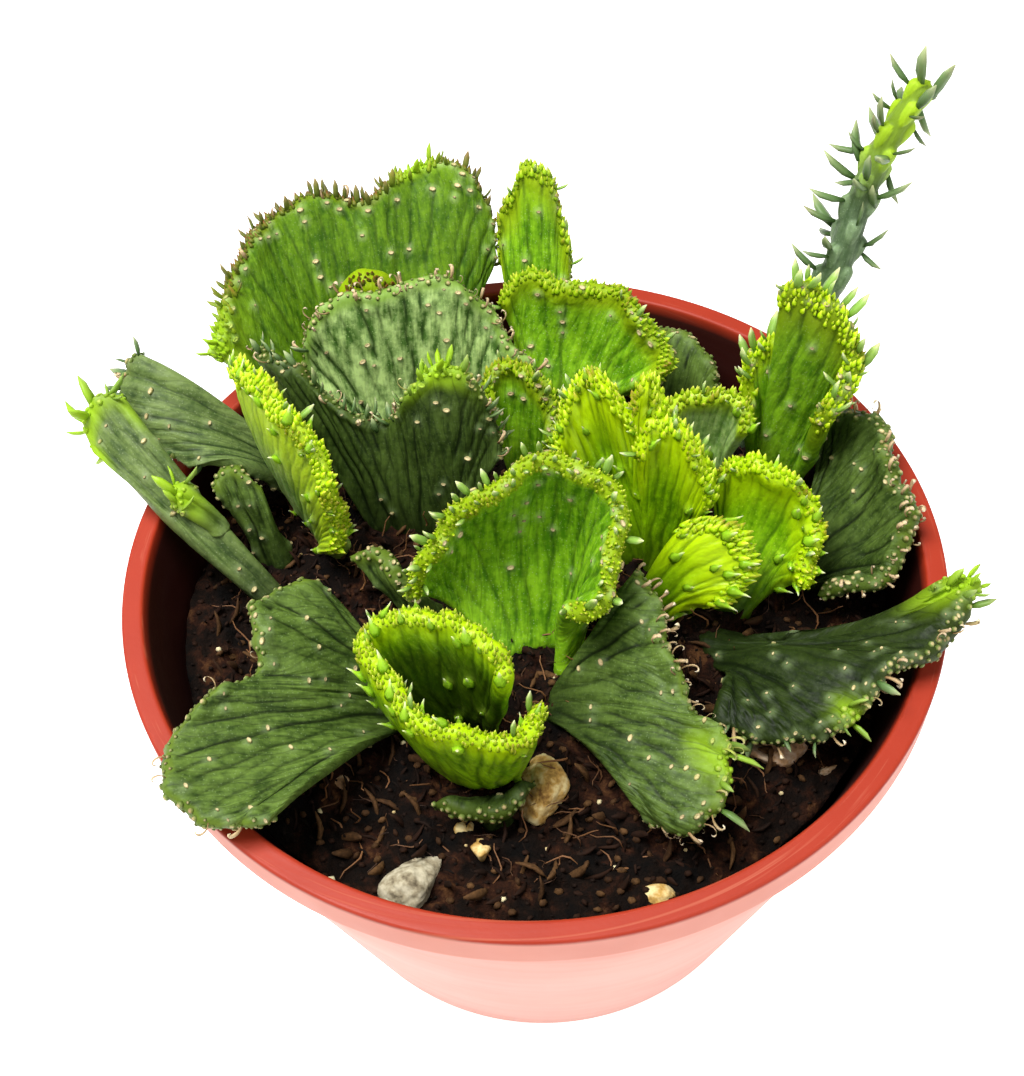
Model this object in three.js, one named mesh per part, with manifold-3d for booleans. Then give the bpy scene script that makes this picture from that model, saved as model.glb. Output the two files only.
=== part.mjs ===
// Potted crested medusa head euphorbia: the fan-shaped crests and the one finger
// stem of a plant that stands in potting soil in a tapered plastic pot, with a
// few pale mineral chips on the soil. Millimetres, +Z up. The origin is the
// middle of the pot's flat bottom, and -Y is the front.
import * as THREE from "three";
import { mergeVertices } from "three/addons/utils/BufferGeometryUtils.js";
import Module from "manifold-3d";

const wasm = await Module();
wasm.setup();

// Pot
const POT_HEIGHT = 100;
const RIM_RADIUS = 75;
const RIM_WIDTH = 4;
const LIP_HEIGHT = 7.5;
const LIP_STEP = 1.6;
const BASE_RADIUS = 52;
const WALL = 1.6;
const FLOOR = 2.4;
const POT_SIDES = 60;
const DRAIN_HOLES = 6;
const DRAIN_RADIUS = 3.5;
const DRAIN_CIRCLE = 36;

// Soil
const SOIL_EDGE = 83.5;
const SOIL_MOUND = 2.5;
const SOIL_CRUMB = 0.7;
const SOIL_RINGS = 7;
const SOIL_SIDES = 32;

// Crests
const FOOT_ABOVE_SOIL = 1.5;
const FOOT_DEPTH = 8;
const FOOT_THICKNESS = 5.6;
const LEAF_THICKNESS = 3.2;
const MARGIN_THICKNESS = 4.6;
const EDGE_THICKNESS = 2;
const MARGIN_WIDTH = 5;
const SHOOT_ROOT = 2;
const RIB_HEIGHT = 0.4;
const TUBERCLE_HEIGHT = 0.35;
const TOOTH_LENGTH = 0.8;
const LEAFLET_LENGTH = 3.6;
const LEAFLET_WIDTH = 1.3;
const LEAFLET_ROOT = 1.2;

// Clear space between two pieces that touch, and the size of detail too small to keep
const GAP = 0.35;
const SLIVER = 0.03;

// Colours of the pieces
const TERRACOTTA = "#c4543c";
const PEAT = "#2b1d14";
const CHIP_CREAM = "#d8c48e";
const CHIP_GREY = "#b9b3a3";
const CHIP_TAN = "#c39a6a";
const DEEP_GREEN = "#2c5236";
const LEAF_GREEN = "#3f7430";
const SILVER_GREEN = "#6f9468";
const OLIVE_GREEN = "#4d6a2b";
const FRESH_GREEN = "#76b02a";
const LIME = "#a6cf22";

// Each crest is a ruled fan. Its foot is a short line across the stem in the
// soil, its rim is a smooth curve through a few points on the growing margin, and
// bow pushes the middle of the fan out of the straight line between the two. A
// foot with heights of its own sits on another crest of the same node.
// Crests that grew together share a node. A crest with a margin colour has its
// bright growing margin as a node of its own.
const CRESTS = [
  {
    node: "crest_back",
    foot: [[-35, 43], [-20, 50]],
    rim: [
      [-59, 43, 114], [-56, 53, 122], [-50, 67, 125], [-37, 76, 126], [-29, 75, 123],
      [-22, 80, 125], [-10, 82, 126], [-4, 78, 120], [-4, 72, 108],
    ],
    bow: [0, -1, 0],
    ribs: 11,
    leaflets: 12,
    colour: LEAF_GREEN,
  },
  {
    node: "crest_back_edge",
    foot: [[1, 56], [8, 56]],
    rim: [
      [-2, 71, 110], [-1, 75, 117], [2, 77, 124], [5, 78, 129], [9, 76, 127], [11, 73, 119],
      [13, 69, 110],
    ],
    bow: [0, 0, 0],
    ribs: 4,
    leaflets: 5,
    colour: LEAF_GREEN,
    margin: LIME,
  },
  {
    node: "crest_back",
    foot: [[-31, 61, 106], [-26, 62, 106]],
    rim: [[-32, 57, 109], [-32, 58, 114], [-29, 59, 116], [-25, 59, 114], [-25, 58, 109]],
    bow: [0, 0, 0],
    ribs: 2,
    leaflets: 0,
    colour: FRESH_GREEN,
  },
  {
    node: "crest_middle_pale",
    foot: [[-25, 33], [-13, 35]],
    rim: [
      [-43, 45, 105], [-42, 49, 113], [-36, 50, 119], [-23, 52, 121], [-14, 54, 121],
      [-7, 53, 116], [-1, 48, 108], [5, 42, 102],
    ],
    bow: [0, 1, 0],
    ribs: 9,
    leaflets: 7,
    colour: SILVER_GREEN,
  },
  {
    node: "crest_middle_waved",
    foot: [[-32, 21], [-12, 17]],
    rim: [
      [-51, 41, 117], [-44, 36, 118], [-37, 31, 113], [-30, 28, 109], [-24, 27, 111],
      [-19, 28, 118], [-13, 28, 121], [-8, 27, 116], [-4, 23, 103],
    ],
    bow: [0, 0, 2],
    ribs: 9,
    leaflets: 8,
    colour: DEEP_GREEN,
  },
  {
    node: "crest_middle_small",
    foot: [[-3, 30], [5, 31]],
    rim: [[-7, 34, 106], [-6, 37, 110], [0, 38, 112], [5, 34, 109], [7, 29, 103], [6, 26, 98]],
    bow: [0, 0, 0],
    ribs: 4,
    leaflets: 4,
    colour: LEAF_GREEN,
    margin: LIME,
  },
  {
    node: "crest_back_bright",
    foot: [[5, 45], [14, 43]],
    rim: [
      [-3, 58, 109], [0, 60, 113], [9, 58, 115], [19, 54, 115], [27, 47, 112],
      [30, 41, 107], [27, 37, 102],
    ],
    bow: [0, 3, 0],
    ribs: 7,
    leaflets: 7,
    colour: LEAF_GREEN,
    margin: FRESH_GREEN,
  },
  {
    node: "crest_back_low",
    foot: [[30, 46], [38, 41]],
    rim: [[29, 59, 97], [34, 57, 99], [38, 53, 99], [41, 48, 98], [42, 43, 95]],
    bow: [0, 0, 2],
    ribs: 4,
    leaflets: 2,
    colour: DEEP_GREEN,
  },
  {
    node: "crest_right_short",
    foot: [[31, 27], [39, 25]],
    rim: [[28, 28, 105], [33, 30, 109], [39, 29, 109], [42, 26, 108], [43, 22, 104]],
    bow: [0, 1, 0],
    ribs: 4,
    leaflets: 4,
    colour: FRESH_GREEN,
  },
  {
    node: "crest_right_tall",
    foot: [[46, 24], [54, 20]],
    rim: [[49, 34, 131], [53, 32, 132], [59, 29, 128], [62, 26, 122], [60, 21, 117], [56, 18, 112]],
    bow: [0, 0, 0],
    ribs: 5,
    leaflets: 7,
    colour: LEAF_GREEN,
    margin: LIME,
  },
  {
    node: "crest_right_tall",
    foot: [[46, 26], [50, 27]],
    rim: [[43, 29, 106], [44, 32, 113], [48, 33, 119], [51, 31, 118]],
    bow: [0, 0, 0],
    ribs: 2,
    leaflets: 2,
    colour: LEAF_GREEN,
  },
  {
    node: "crest_middle_bright",
    foot: [[15, 10], [25, 7]],
    rim: [[5, 16, 106], [7, 20, 115], [12, 22, 124], [16, 19, 122], [21, 14, 117]],
    bow: [0, 0, 0],
    ribs: 5,
    leaflets: 5,
    colour: LIME,
  },
  {
    node: "crest_middle_bright",
    foot: [[20, 11, 103], [23, 10, 103]],
    rim: [[20, 15, 119], [21, 17, 125], [23, 18, 127], [24, 16, 124], [24, 13, 118]],
    bow: [0, 0, 0],
    ribs: 2,
    leaflets: 2,
    colour: LIME,
  },
  {
    node: "crest_middle_bright",
    foot: [[22, 7], [28, 4]],
    rim: [[20, 11, 114], [23, 13, 119], [28, 12, 119], [32, 8, 114], [33, 4, 106]],
    bow: [0, 0, 0],
    ribs: 3,
    leaflets: 4,
    colour: LIME,
  },
  {
    node: "crest_right_fist",
    foot: [[18, -5], [24, -10]],
    rim: [[29, 0, 106], [34, -1, 107], [38, -5, 106], [39, -9, 103], [36, -11, 98], [32, -9, 94]],
    bow: [0, 0, 4],
    ribs: 5,
    leaflets: 7,
    colour: LIME,
  },
  {
    node: "crest_right_round",
    foot: [[34, -2], [41, -7]],
    rim: [
      [34, 10, 104], [37, 9, 111], [43, 6, 113], [49, 2, 110], [52, -4, 105], [48, -11, 98],
    ],
    bow: [2, 3, 0],
    ribs: 6,
    leaflets: 6,
    colour: FRESH_GREEN,
    margin: LIME,
  },
  {
    node: "crest_right_dark",
    foot: [[51, 9], [54, -3]],
    rim: [
      [58, 26, 95], [62, 28, 101], [66, 24, 106], [68, 15, 108], [68, 4, 107],
      [69, -4, 105], [64, -10, 100], [52, -9, 93],
    ],
    bow: [2, 0, 0],
    ribs: 8,
    leaflets: 7,
    colour: DEEP_GREEN,
  },
  {
    node: "crest_right_tongue",
    foot: [[32, -11], [35, -20]],
    rim: [
      [69, -21, 111], [74, -22, 112], [73, -26, 111], [66, -31, 107], [56, -36, 103],
      [51, -41, 100], [45, -42, 97], [36, -39, 94], [29, -34, 92],
    ],
    bow: [0, 0, 3],
    ribs: 9,
    leaflets: 8,
    colour: DEEP_GREEN,
  },
  {
    node: "crest_front_right",
    foot: [[5, -21], [3, -29]],
    rim: [
      [19, -9, 104], [22, -21, 103], [26, -37, 100], [30, -43, 100], [29, -50, 98],
      [23, -55, 94], [16, -52, 91],
    ],
    bow: [0, 0, 3],
    ribs: 9,
    leaflets: 9,
    colour: DEEP_GREEN,
  },
  {
    node: "crest_front_middle",
    foot: [[-9, -14], [-2, -11], [5, -12], [6, -16], [3, -18]],
    rim: [
      [-22, -11, 102], [-18, -6, 111], [-10, -2, 118], [3, 1, 123], [11, -1, 123],
      [15, -7, 120], [14, -15, 115], [10, -22, 112], [5, -24, 112],
    ],
    bow: [0, 5, 0],
    ribs: 9,
    leaflets: 10,
    colour: LEAF_GREEN,
    margin: FRESH_GREEN,
  },
  {
    node: "crest_front_cup",
    foot: [[-6, -36], [-12, -38], [-17, -34], [-13, -29], [-8, -30]],
    rim: [
      [1, -36, 105], [-4, -42, 106], [-12, -43, 108], [-22, -37, 110], [-28, -28, 111],
      [-29, -23, 111], [-22, -22, 114], [-13, -26, 116], [-6, -31, 115], [-6, -35, 112],
    ],
    bow: [-1, -2, -3],
    ribs: 10,
    leaflets: 10,
    colour: FRESH_GREEN,
    margin: LIME,
  },
  {
    node: "crest_front_low",
    foot: [[-6, -44], [-12, -45]],
    rim: [[-2, -43, 90], [-7, -48, 91], [-14, -49, 91], [-20, -46, 91]],
    bow: [0, 0, 1],
    ribs: 3,
    leaflets: 3,
    colour: DEEP_GREEN,
  },
  {
    node: "crest_front_left",
    foot: [[-27, -18], [-25, -28]],
    rim: [
      [-36, -8, 98], [-42, -8, 104], [-49, -15, 108], [-48, -26, 105], [-56, -32, 107],
      [-62, -42, 107], [-60, -50, 107], [-53, -55, 106], [-45, -54, 103],
    ],
    bow: [0, 0, 3],
    ribs: 11,
    leaflets: 10,
    colour: DEEP_GREEN,
  },
  {
    node: "crest_left_strap",
    foot: [[-52, 0], [-46, 6]],
    rim: [[-83, 22, 110], [-84, 27, 113], [-81, 31, 115], [-76, 33, 115], [-72, 33, 114]],
    bow: [0, -3, 4],
    ribs: 4,
    leaflets: 6,
    colour: DEEP_GREEN,
    margin: LIME,
  },
  {
    node: "crest_left_strap",
    foot: [[-60, 9, 101], [-57, 12, 101]],
    rim: [[-66, 11, 106], [-66, 14, 109], [-63, 15, 109]],
    bow: [0, 0, 0],
    ribs: 2,
    leaflets: 2,
    colour: DEEP_GREEN,
  },
  {
    node: "crest_left_back",
    foot: [[-47, 35], [-44, 27]],
    rim: [[-74, 44, 115], [-77, 41, 113], [-77, 37, 110], [-73, 30, 106], [-64, 24, 103]],
    bow: [2, -3, 7],
    ribs: 5,
    leaflets: 5,
    colour: OLIVE_GREEN,
  },
  {
    node: "crest_left_upright",
    foot: [[-43, 23], [-37, 13]],
    rim: [[-51, 30, 126], [-46, 21, 127], [-40, 14, 125], [-36, 9, 118], [-34, 7, 107], [-35, 6, 97]],
    bow: [-3, 0, 0],
    ribs: 6,
    leaflets: 7,
    colour: LEAF_GREEN,
    margin: LIME,
  },
  {
    node: "crest_left_inner",
    foot: [[-53, 15], [-47, 12]],
    rim: [[-60, 19, 102], [-57, 21, 104], [-54, 20, 104], [-51, 20, 101]],
    bow: [0, 0, 0],
    ribs: 3,
    leaflets: 2,
    colour: DEEP_GREEN,
  },
  {
    node: "crest_middle_low",
    foot: [[-24, -3], [-16, -5]],
    rim: [[-34, 3, 99], [-29, 2, 100], [-25, -2, 99], [-22, -5, 95]],
    bow: [0, 0, 0],
    ribs: 3,
    leaflets: 2,
    colour: DEEP_GREEN,
  },
];

// Finger stem: the one shoot that did not crest. Its centre line, its thickness
// and the spiral of tubercles and leaflets.
const STEM_LINE = [
  [48, 38, 77], [49, 39, 90], [53, 41, 103], [62, 45, 120], [66, 50, 138], [70, 52, 150], [77, 53, 161],
];
const STEM_RADIUS = 3.5;
const STEM_TIP_RADIUS = 2.2;
const STEM_SIDES = 8;
const STEM_RINGS = 20;
const STEM_LEAFLETS = 13;

// Mineral chips that lie in the top of the soil: place, size and colour.
const CHIPS = [
  { at: [0, -41], size: [4.2, 5.4, 3.6], colour: CHIP_CREAM, detail: 1 },
  { at: [-24, -58], size: [4.6, 4.4, 3.4], colour: CHIP_GREY, detail: 1 },
  { at: [41, -36], size: [5.5, 4.4, 3.4], colour: CHIP_TAN, detail: 1 },
  { at: [17, -62], size: [4, 2.4, 2], colour: CHIP_CREAM, detail: 1 },
  { at: [-15, -48], size: [1.5, 1.8, 1.2], colour: CHIP_CREAM, detail: 0 },
  { at: [-12, -51], size: [2, 1.7, 1.3], colour: CHIP_CREAM, detail: 0 },
  { at: [-36, -37], size: [1.4, 1.9, 1.4], colour: CHIP_TAN, detail: 0 },
  { at: [49, -41], size: [2.1, 1.9, 1.5], colour: CHIP_TAN, detail: 0 },
];

// Random numbers between 0 and 1 that are the same on each run.
function seededRandom(seed) {
  let state = seed;
  return () => {
    state = (state * 1664525 + 1013904223) % 4294967296;
    return state / 4294967296;
  };
}

// A three.js geometry as a solid that can be joined and cut.
function solidFrom(geometry) {
  const bare = geometry.clone();
  bare.deleteAttribute("normal");
  bare.deleteAttribute("uv");
  const merged = mergeVertices(bare, 1e-4);
  return new wasm.Manifold(
    new wasm.Mesh({
      numProp: 3,
      vertProperties: merged.attributes.position.array,
      triVerts: new Uint32Array(merged.index.array),
    }),
  );
}

// A solid back as a three.js geometry.
function geometryFrom(solid) {
  const mesh = solid.getMesh();
  return new THREE.BufferGeometry()
    .setAttribute("position", new THREE.BufferAttribute(mesh.vertProperties, 3))
    .setIndex(new THREE.BufferAttribute(mesh.triVerts, 1));
}

function indexed(points, triangles) {
  return new THREE.BufferGeometry()
    .setAttribute("position", new THREE.Float32BufferAttribute(points.flatMap((p) => [p.x, p.y, p.z]), 3))
    .setIndex(triangles);
}

const part = new THREE.Group();

function addPiece(name, geometry, colour, roughness) {
  const mesh = new THREE.Mesh(
    geometry,
    new THREE.MeshStandardMaterial({ color: colour, roughness, metalness: 0 }),
  );
  mesh.name = name;
  part.add(mesh);
}

// Radius of the pot's outer wall, under the lip, at a height.
function wallRadius(z) {
  const top = RIM_RADIUS - LIP_STEP;
  return BASE_RADIUS + ((top - BASE_RADIUS) * z) / (POT_HEIGHT - LIP_HEIGHT);
}

// Radius of the pot's inner wall at a height.
function innerRadius(z) {
  const top = RIM_RADIUS - RIM_WIDTH;
  const low = BASE_RADIUS - WALL;
  return low + ((top - low) * z) / POT_HEIGHT;
}

// Height of the soil: a slight mound with crumbs.
function soilHeight(x, y) {
  const r = Math.hypot(x, y) / RIM_RADIUS;
  const crumb = Math.sin(x * 0.9 + y * 0.35) * Math.sin(y * 0.8 - x * 0.2);
  return SOIL_EDGE + SOIL_MOUND * (1 - r * r) + SOIL_CRUMB * crumb;
}

function lathe(profile, sides) {
  return new THREE.LatheGeometry(
    profile.map(([r, z]) => new THREE.Vector2(r, z)),
    sides,
  ).rotateX(Math.PI / 2);
}

// Pot: one moulded shell with a flat-topped lip and drain holes in its floor.
function makePot() {
  const lipBottom = POT_HEIGHT - LIP_HEIGHT;
  const shell = solidFrom(
    lathe(
      [
        [0, FLOOR],
        [innerRadius(FLOOR), FLOOR],
        [innerRadius(POT_HEIGHT - 1), POT_HEIGHT - 1],
        [RIM_RADIUS - RIM_WIDTH + 0.5, POT_HEIGHT],
        [RIM_RADIUS - 0.6, POT_HEIGHT],
        [RIM_RADIUS, POT_HEIGHT - 0.6],
        [RIM_RADIUS, lipBottom],
        [wallRadius(lipBottom), lipBottom],
        [wallRadius(3), 3],
        [BASE_RADIUS - 0.6, 0],
        [0, 0],
      ].reverse(),
      POT_SIDES,
    ),
  );
  let pot = shell;
  for (let i = 0; i < DRAIN_HOLES; i++) {
    const turn = (2 * Math.PI * (i + 0.5)) / DRAIN_HOLES;
    const drill = new THREE.CylinderGeometry(DRAIN_RADIUS, DRAIN_RADIUS, 3 * FLOOR, 12)
      .rotateX(Math.PI / 2)
      .translate(DRAIN_CIRCLE * Math.cos(turn), DRAIN_CIRCLE * Math.sin(turn), FLOOR / 2);
    pot = pot.subtract(solidFrom(drill));
  }
  return pot;
}

// Soil: fills the pot from its floor, with a crumbly top. Every other ring of
// points is turned by half a step.
function makeSoil() {
  const sideRadius = (z) => innerRadius(z) * Math.cos(Math.PI / POT_SIDES) - GAP;
  const floor = FLOOR + GAP;
  const turnOf = (ring, side) => (2 * Math.PI * (side + (ring % 2) / 2)) / SOIL_SIDES;
  const points = [new THREE.Vector3(0, 0, soilHeight(0, 0))];
  for (let ring = 1; ring <= SOIL_RINGS; ring++)
    for (let side = 0; side < SOIL_SIDES; side++) {
      const r = (sideRadius(SOIL_EDGE - SOIL_CRUMB) * ring) / SOIL_RINGS;
      const x = r * Math.cos(turnOf(ring, side));
      const y = r * Math.sin(turnOf(ring, side));
      points.push(new THREE.Vector3(x, y, soilHeight(x, y)));
    }
  for (let side = 0; side < SOIL_SIDES; side++) {
    const turn = turnOf(SOIL_RINGS, side);
    const r = sideRadius(floor);
    points.push(new THREE.Vector3(r * Math.cos(turn), r * Math.sin(turn), floor));
  }
  const middle = points.push(new THREE.Vector3(0, 0, floor)) - 1;

  const at = (ring, side) => 1 + (ring - 1) * SOIL_SIDES + (side % SOIL_SIDES);
  const triangles = [];
  for (let side = 0; side < SOIL_SIDES; side++) {
    triangles.push(0, at(1, side), at(1, side + 1));
    for (let ring = 1; ring <= SOIL_RINGS; ring++) {
      const [a, b] = [at(ring, side), at(ring, side + 1)];
      const [c, d] = [at(ring + 1, side), at(ring + 1, side + 1)];
      if (ring % 2 || ring === SOIL_RINGS) triangles.push(a, c, d, a, d, b);
      else triangles.push(a, c, b, b, c, d);
    }
    triangles.push(at(SOIL_RINGS + 1, side), middle, at(SOIL_RINGS + 1, side + 1));
  }
  return solidFrom(indexed(points, triangles));
}

// A smooth curve through a few points.
function smoothCurve(points) {
  if (points.length === 2) return new THREE.LineCurve3(...points);
  return new THREE.CatmullRomCurve3(points, false, "centripetal");
}

// The sheet of a crest: a point of its middle surface and the directions there,
// with u along the rim. Its height w counts from -1 at the root's end to 0 at the
// foot, 1 where the margin starts and 2 at the rim, with the same margin all round.
function crestSheet(crest) {
  const rim = smoothCurve(crest.rim.map((p) => new THREE.Vector3(...p)));
  const isShoot = crest.foot[0].length === 3;
  const base = smoothCurve(
    crest.foot.map(([x, y, z = soilHeight(x, y) + FOOT_ABOVE_SOIL]) => new THREE.Vector3(x, y, z)),
  );
  const bow = new THREE.Vector3(...crest.bow);
  const point = (u, w) => {
    const foot = base.getPointAt(u);
    if (w < 0) return foot.setZ(foot.z + w * (isShoot ? SHOOT_ROOT : FOOT_DEPTH));
    const edge = rim.getPointAt(u);
    const margin = Math.min(MARGIN_WIDTH / edge.distanceTo(foot), 0.45);
    const v = w < 1 ? w * (1 - margin) : 1 - margin * (2 - w);
    return foot.lerp(edge, v).addScaledVector(bow, 4 * v * (1 - v));
  };
  const outward = (u, w) => point(u, w).sub(point(u, w - 0.02)).normalize();
  const leafFacing = (u, w) => {
    const along = point(Math.min(u + 0.06, 1), w).sub(point(Math.max(u - 0.06, 0), w));
    return along.cross(outward(u, w)).normalize();
  };
  const footFacing = (u) => base.getTangentAt(u).cross(new THREE.Vector3(0, 0, 1)).normalize();
  const side = Math.sign(footFacing(0.5).dot(leafFacing(0.5, 0.7)));
  const facing = (u, w) =>
    footFacing(u)
      .multiplyScalar(side)
      .lerp(leafFacing(u, w), THREE.MathUtils.smoothstep(w, 0, 0.6))
      .normalize();
  // The tightest radius to which the sheet bends there, along either way.
  const bendRadius = (u, w) => {
    const spans = [
      [[Math.max(u - 0.04, 0), w], [Math.min(u + 0.04, 1), w]],
      [[u, w - 0.1], [u, Math.min(w + 0.1, 2)]],
    ];
    const radii = spans.map(([a, b]) => {
      const turn = facing(...a).distanceTo(facing(...b));
      return point(...a).distanceTo(point(...b)) / Math.max(turn, 1e-3);
    });
    return Math.min(...radii);
  };
  return { point, facing, outward, bendRadius, isSlim: isShoot || crest.foot.length > 2, isShoot };
}

// Half the thickness of a crest at a height w of its sheet.
function halfThickness(w, isSlim) {
  const foot = isSlim ? LEAF_THICKNESS : FOOT_THICKNESS;
  const stations = [
    [-1, foot * 0.8],
    [0, foot],
    [0.5, LEAF_THICKNESS],
    [1, LEAF_THICKNESS],
    [1.5, MARGIN_THICKNESS],
    [2, EDGE_THICKNESS],
  ];
  const next = Math.max(stations.findIndex(([at]) => at >= w), 1);
  const [[w0, t0], [w1, t1]] = [stations[next - 1], stations[next]];
  return THREE.MathUtils.lerp(t0, t1, THREE.MathUtils.clamp((w - w0) / (w1 - w0), 0, 1)) / 2;
}

// Heights of the rows of points of a crest, from its root to its rim.
function rowsOf(crest) {
  return crest.ribs > 6 ? [-1, 0, 0.3, 0.65, 1, 1.5, 2] : [-1, 0, 0.5, 1, 1.5, 2];
}

// One strip of a crest, closed all round, between two neighbouring columns. A
// column is a list of rows, each with its points on the front and back face.
function stripSolid(left, right) {
  const points = left.flatMap((row, j) => [...row, ...right[j]]);
  const last = 4 * (left.length - 1);
  const triangles = [0, 1, 3, 0, 3, 2, last, last + 2, last + 3, last, last + 3, last + 1];
  for (let at = 0; at < last; at += 4) {
    const [front, back, frontRight, backRight] = [at, at + 1, at + 2, at + 3];
    triangles.push(front, frontRight, frontRight + 4, front, frontRight + 4, front + 4);
    triangles.push(back, backRight + 4, backRight, back, back + 4, backRight + 4);
    triangles.push(front, front + 4, back + 4, front, back + 4, back);
    triangles.push(frontRight, backRight + 4, frontRight + 4, frontRight, backRight, backRight + 4);
  }
  return solidFrom(indexed(points, triangles));
}

// A crest between two heights of its sheet, joined from its strips. Each rib is a
// column of points that stands out on both faces, with tubercles on it, and the
// rim is toothed.
function crestSolid(crest, sheet, rows) {
  const columns = 2 * crest.ribs;
  const column = (i) =>
    rows.map((w, j) => {
      const u = i / columns;
      const isRib = i % 2 === 1;
      const fade = THREE.MathUtils.smoothstep(w, 0, 0.3);
      let half = halfThickness(w, sheet.isSlim);
      if (i === 0 || i === columns) half *= 0.55;
      else half += fade * (isRib ? RIB_HEIGHT + (j % 2) * TUBERCLE_HEIGHT : -RIB_HEIGHT / 2);
      half = Math.max(Math.min(half, 0.8 * sheet.bendRadius(u, w)), 0.4);
      const middle = sheet.point(u, w);
      if (w === 2) middle.addScaledVector(sheet.outward(u, w), isRib ? TOOTH_LENGTH : -TOOTH_LENGTH / 3);
      return [half, -half].map((offset) => middle.clone().addScaledVector(sheet.facing(u, w), offset));
    });
  const made = Array.from({ length: columns + 1 }, (_, i) => column(i));
  return wasm.Manifold.union(made.slice(1).map((right, i) => stripSolid(made[i], right)));
}

// A plain upright hole in the soil round the foot of a crest.
function footHole(foot) {
  const places = foot.map(([x, y]) => new THREE.Vector2(x, y));
  const along = places.at(-1).clone().sub(places[0]).normalize();
  const across = new THREE.Vector2(-along.y, along.x);
  const clear = 1.5 * GAP;
  const thickness = FOOT_THICKNESS / 2 + clear;
  const ends = places.map((p) => p.dot(along));
  const sides = places.map((p) => p.dot(across));
  const reach = places.length > 2 ? thickness : clear;
  const [left, right] = [Math.min(...ends) - reach, Math.max(...ends) + reach];
  const [near, far] = [Math.min(...sides) - thickness, Math.max(...sides) + thickness];
  const corner = thickness / 2;
  const outline = new THREE.Shape(
    [
      [right, near + corner],
      [right, far - corner],
      [right - corner / 2, far],
      [left + corner / 2, far],
      [left, far - corner],
      [left, near + corner],
      [left + corner / 2, near],
      [right - corner / 2, near],
    ].map(([a, b]) => new THREE.Vector2().addScaledVector(along, a).addScaledVector(across, b)),
  );
  const lowest = Math.min(...foot.map(([x, y]) => soilHeight(x, y)));
  const hole = new THREE.ExtrudeGeometry(outline, { depth: 2 * FOOT_DEPTH, bevelEnabled: false });
  return solidFrom(hole.translate(0, 0, lowest + FOOT_ABOVE_SOIL - FOOT_DEPTH - GAP));
}

// A leaflet: a three-sided needle with its root sunk in what it grows from.
function leafletSolid(at, direction, length) {
  const across = new THREE.Vector3(0.3, 0.5, 0.8).cross(direction).normalize();
  const other = direction.clone().cross(across);
  const root = at.clone().addScaledVector(direction, -LEAFLET_ROOT);
  const points = [0, 1, 2].map((k) => {
    const turn = (2 * Math.PI * k) / 3;
    return root
      .clone()
      .addScaledVector(across, (LEAFLET_WIDTH / 2) * Math.cos(turn))
      .addScaledVector(other, (LEAFLET_WIDTH / 2) * Math.sin(turn));
  });
  points.push(at.clone().addScaledVector(direction, length));
  return solidFrom(indexed(points, [2, 1, 0, 0, 1, 3, 1, 2, 3, 2, 0, 3]));
}

// Leaflets along the margin of a crest, leaning to its two faces in turn.
function addLeaflets(solid, crest, sheet, random) {
  let made = solid;
  for (let k = 0; k < crest.leaflets; k++) {
    const u = (k + 0.3 + 0.4 * random()) / crest.leaflets;
    const side = k % 2 ? 1 : -1;
    const facing = sheet.facing(u, 1.9);
    const at = sheet.point(u, 1.8).addScaledVector(facing, side * 0.6);
    const lean = side * (0.4 + 0.5 * random());
    const direction = sheet.outward(u, 1.9).addScaledVector(facing, lean).normalize();
    made = made.add(leafletSolid(at, direction, LEAFLET_LENGTH * (0.75 + 0.5 * random())));
  }
  return made;
}

// Finger stem: a tapering tube with a spiral of tubercles and a few leaflets.
function makeStem(grow) {
  const line = new THREE.CatmullRomCurve3(STEM_LINE.map((p) => new THREE.Vector3(...p)));
  const frames = line.computeFrenetFrames(STEM_RINGS, false);
  const radiusAt = (s) => THREE.MathUtils.lerp(STEM_RADIUS, STEM_TIP_RADIUS, Math.max(0, (s - 0.6) / 0.4));
  const spoke = (ring, turn) =>
    frames.normals[ring]
      .clone()
      .multiplyScalar(Math.cos(turn))
      .addScaledVector(frames.binormals[ring], Math.sin(turn));
  const points = [line.getPointAt(0)];
  for (let ring = 0; ring <= STEM_RINGS; ring++)
    for (let side = 0; side < STEM_SIDES; side++) {
      const s = ring / STEM_RINGS;
      const raised = grow ? grow + RIB_HEIGHT : RIB_HEIGHT * (((side + ring) % 2) * 2 - 1);
      const turn = (2 * Math.PI * side) / STEM_SIDES;
      points.push(line.getPointAt(s).addScaledVector(spoke(ring, turn), radiusAt(s) + raised));
    }
  points.push(line.getPointAt(1).addScaledVector(frames.tangents[STEM_RINGS], 1.2));
  const tip = points.length - 1;
  const at = (ring, side) => 1 + ring * STEM_SIDES + (side % STEM_SIDES);
  const triangles = [];
  for (let side = 0; side < STEM_SIDES; side++) {
    triangles.push(0, at(0, side + 1), at(0, side));
    for (let ring = 0; ring < STEM_RINGS; ring++) {
      triangles.push(at(ring, side), at(ring, side + 1), at(ring + 1, side + 1));
      triangles.push(at(ring, side), at(ring + 1, side + 1), at(ring + 1, side));
    }
    triangles.push(at(STEM_RINGS, side), at(STEM_RINGS, side + 1), tip);
  }
  let stem = solidFrom(indexed(points, triangles));
  if (grow) return stem;
  const random = seededRandom(5);
  for (let k = 0; k < STEM_LEAFLETS; k++) {
    const ring = Math.round(STEM_RINGS * (0.55 + (0.44 * k) / STEM_LEAFLETS));
    const out = spoke(ring, k * 2.4);
    const root = line.getPointAt(ring / STEM_RINGS).addScaledVector(out, radiusAt(ring / STEM_RINGS) - 0.4);
    const direction = out.addScaledVector(frames.tangents[ring], 0.5 + 0.4 * random()).normalize();
    stem = stem.add(leafletSolid(root, direction, LEAFLET_LENGTH * (1.2 + 0.5 * random())));
  }
  return stem;
}

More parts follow.
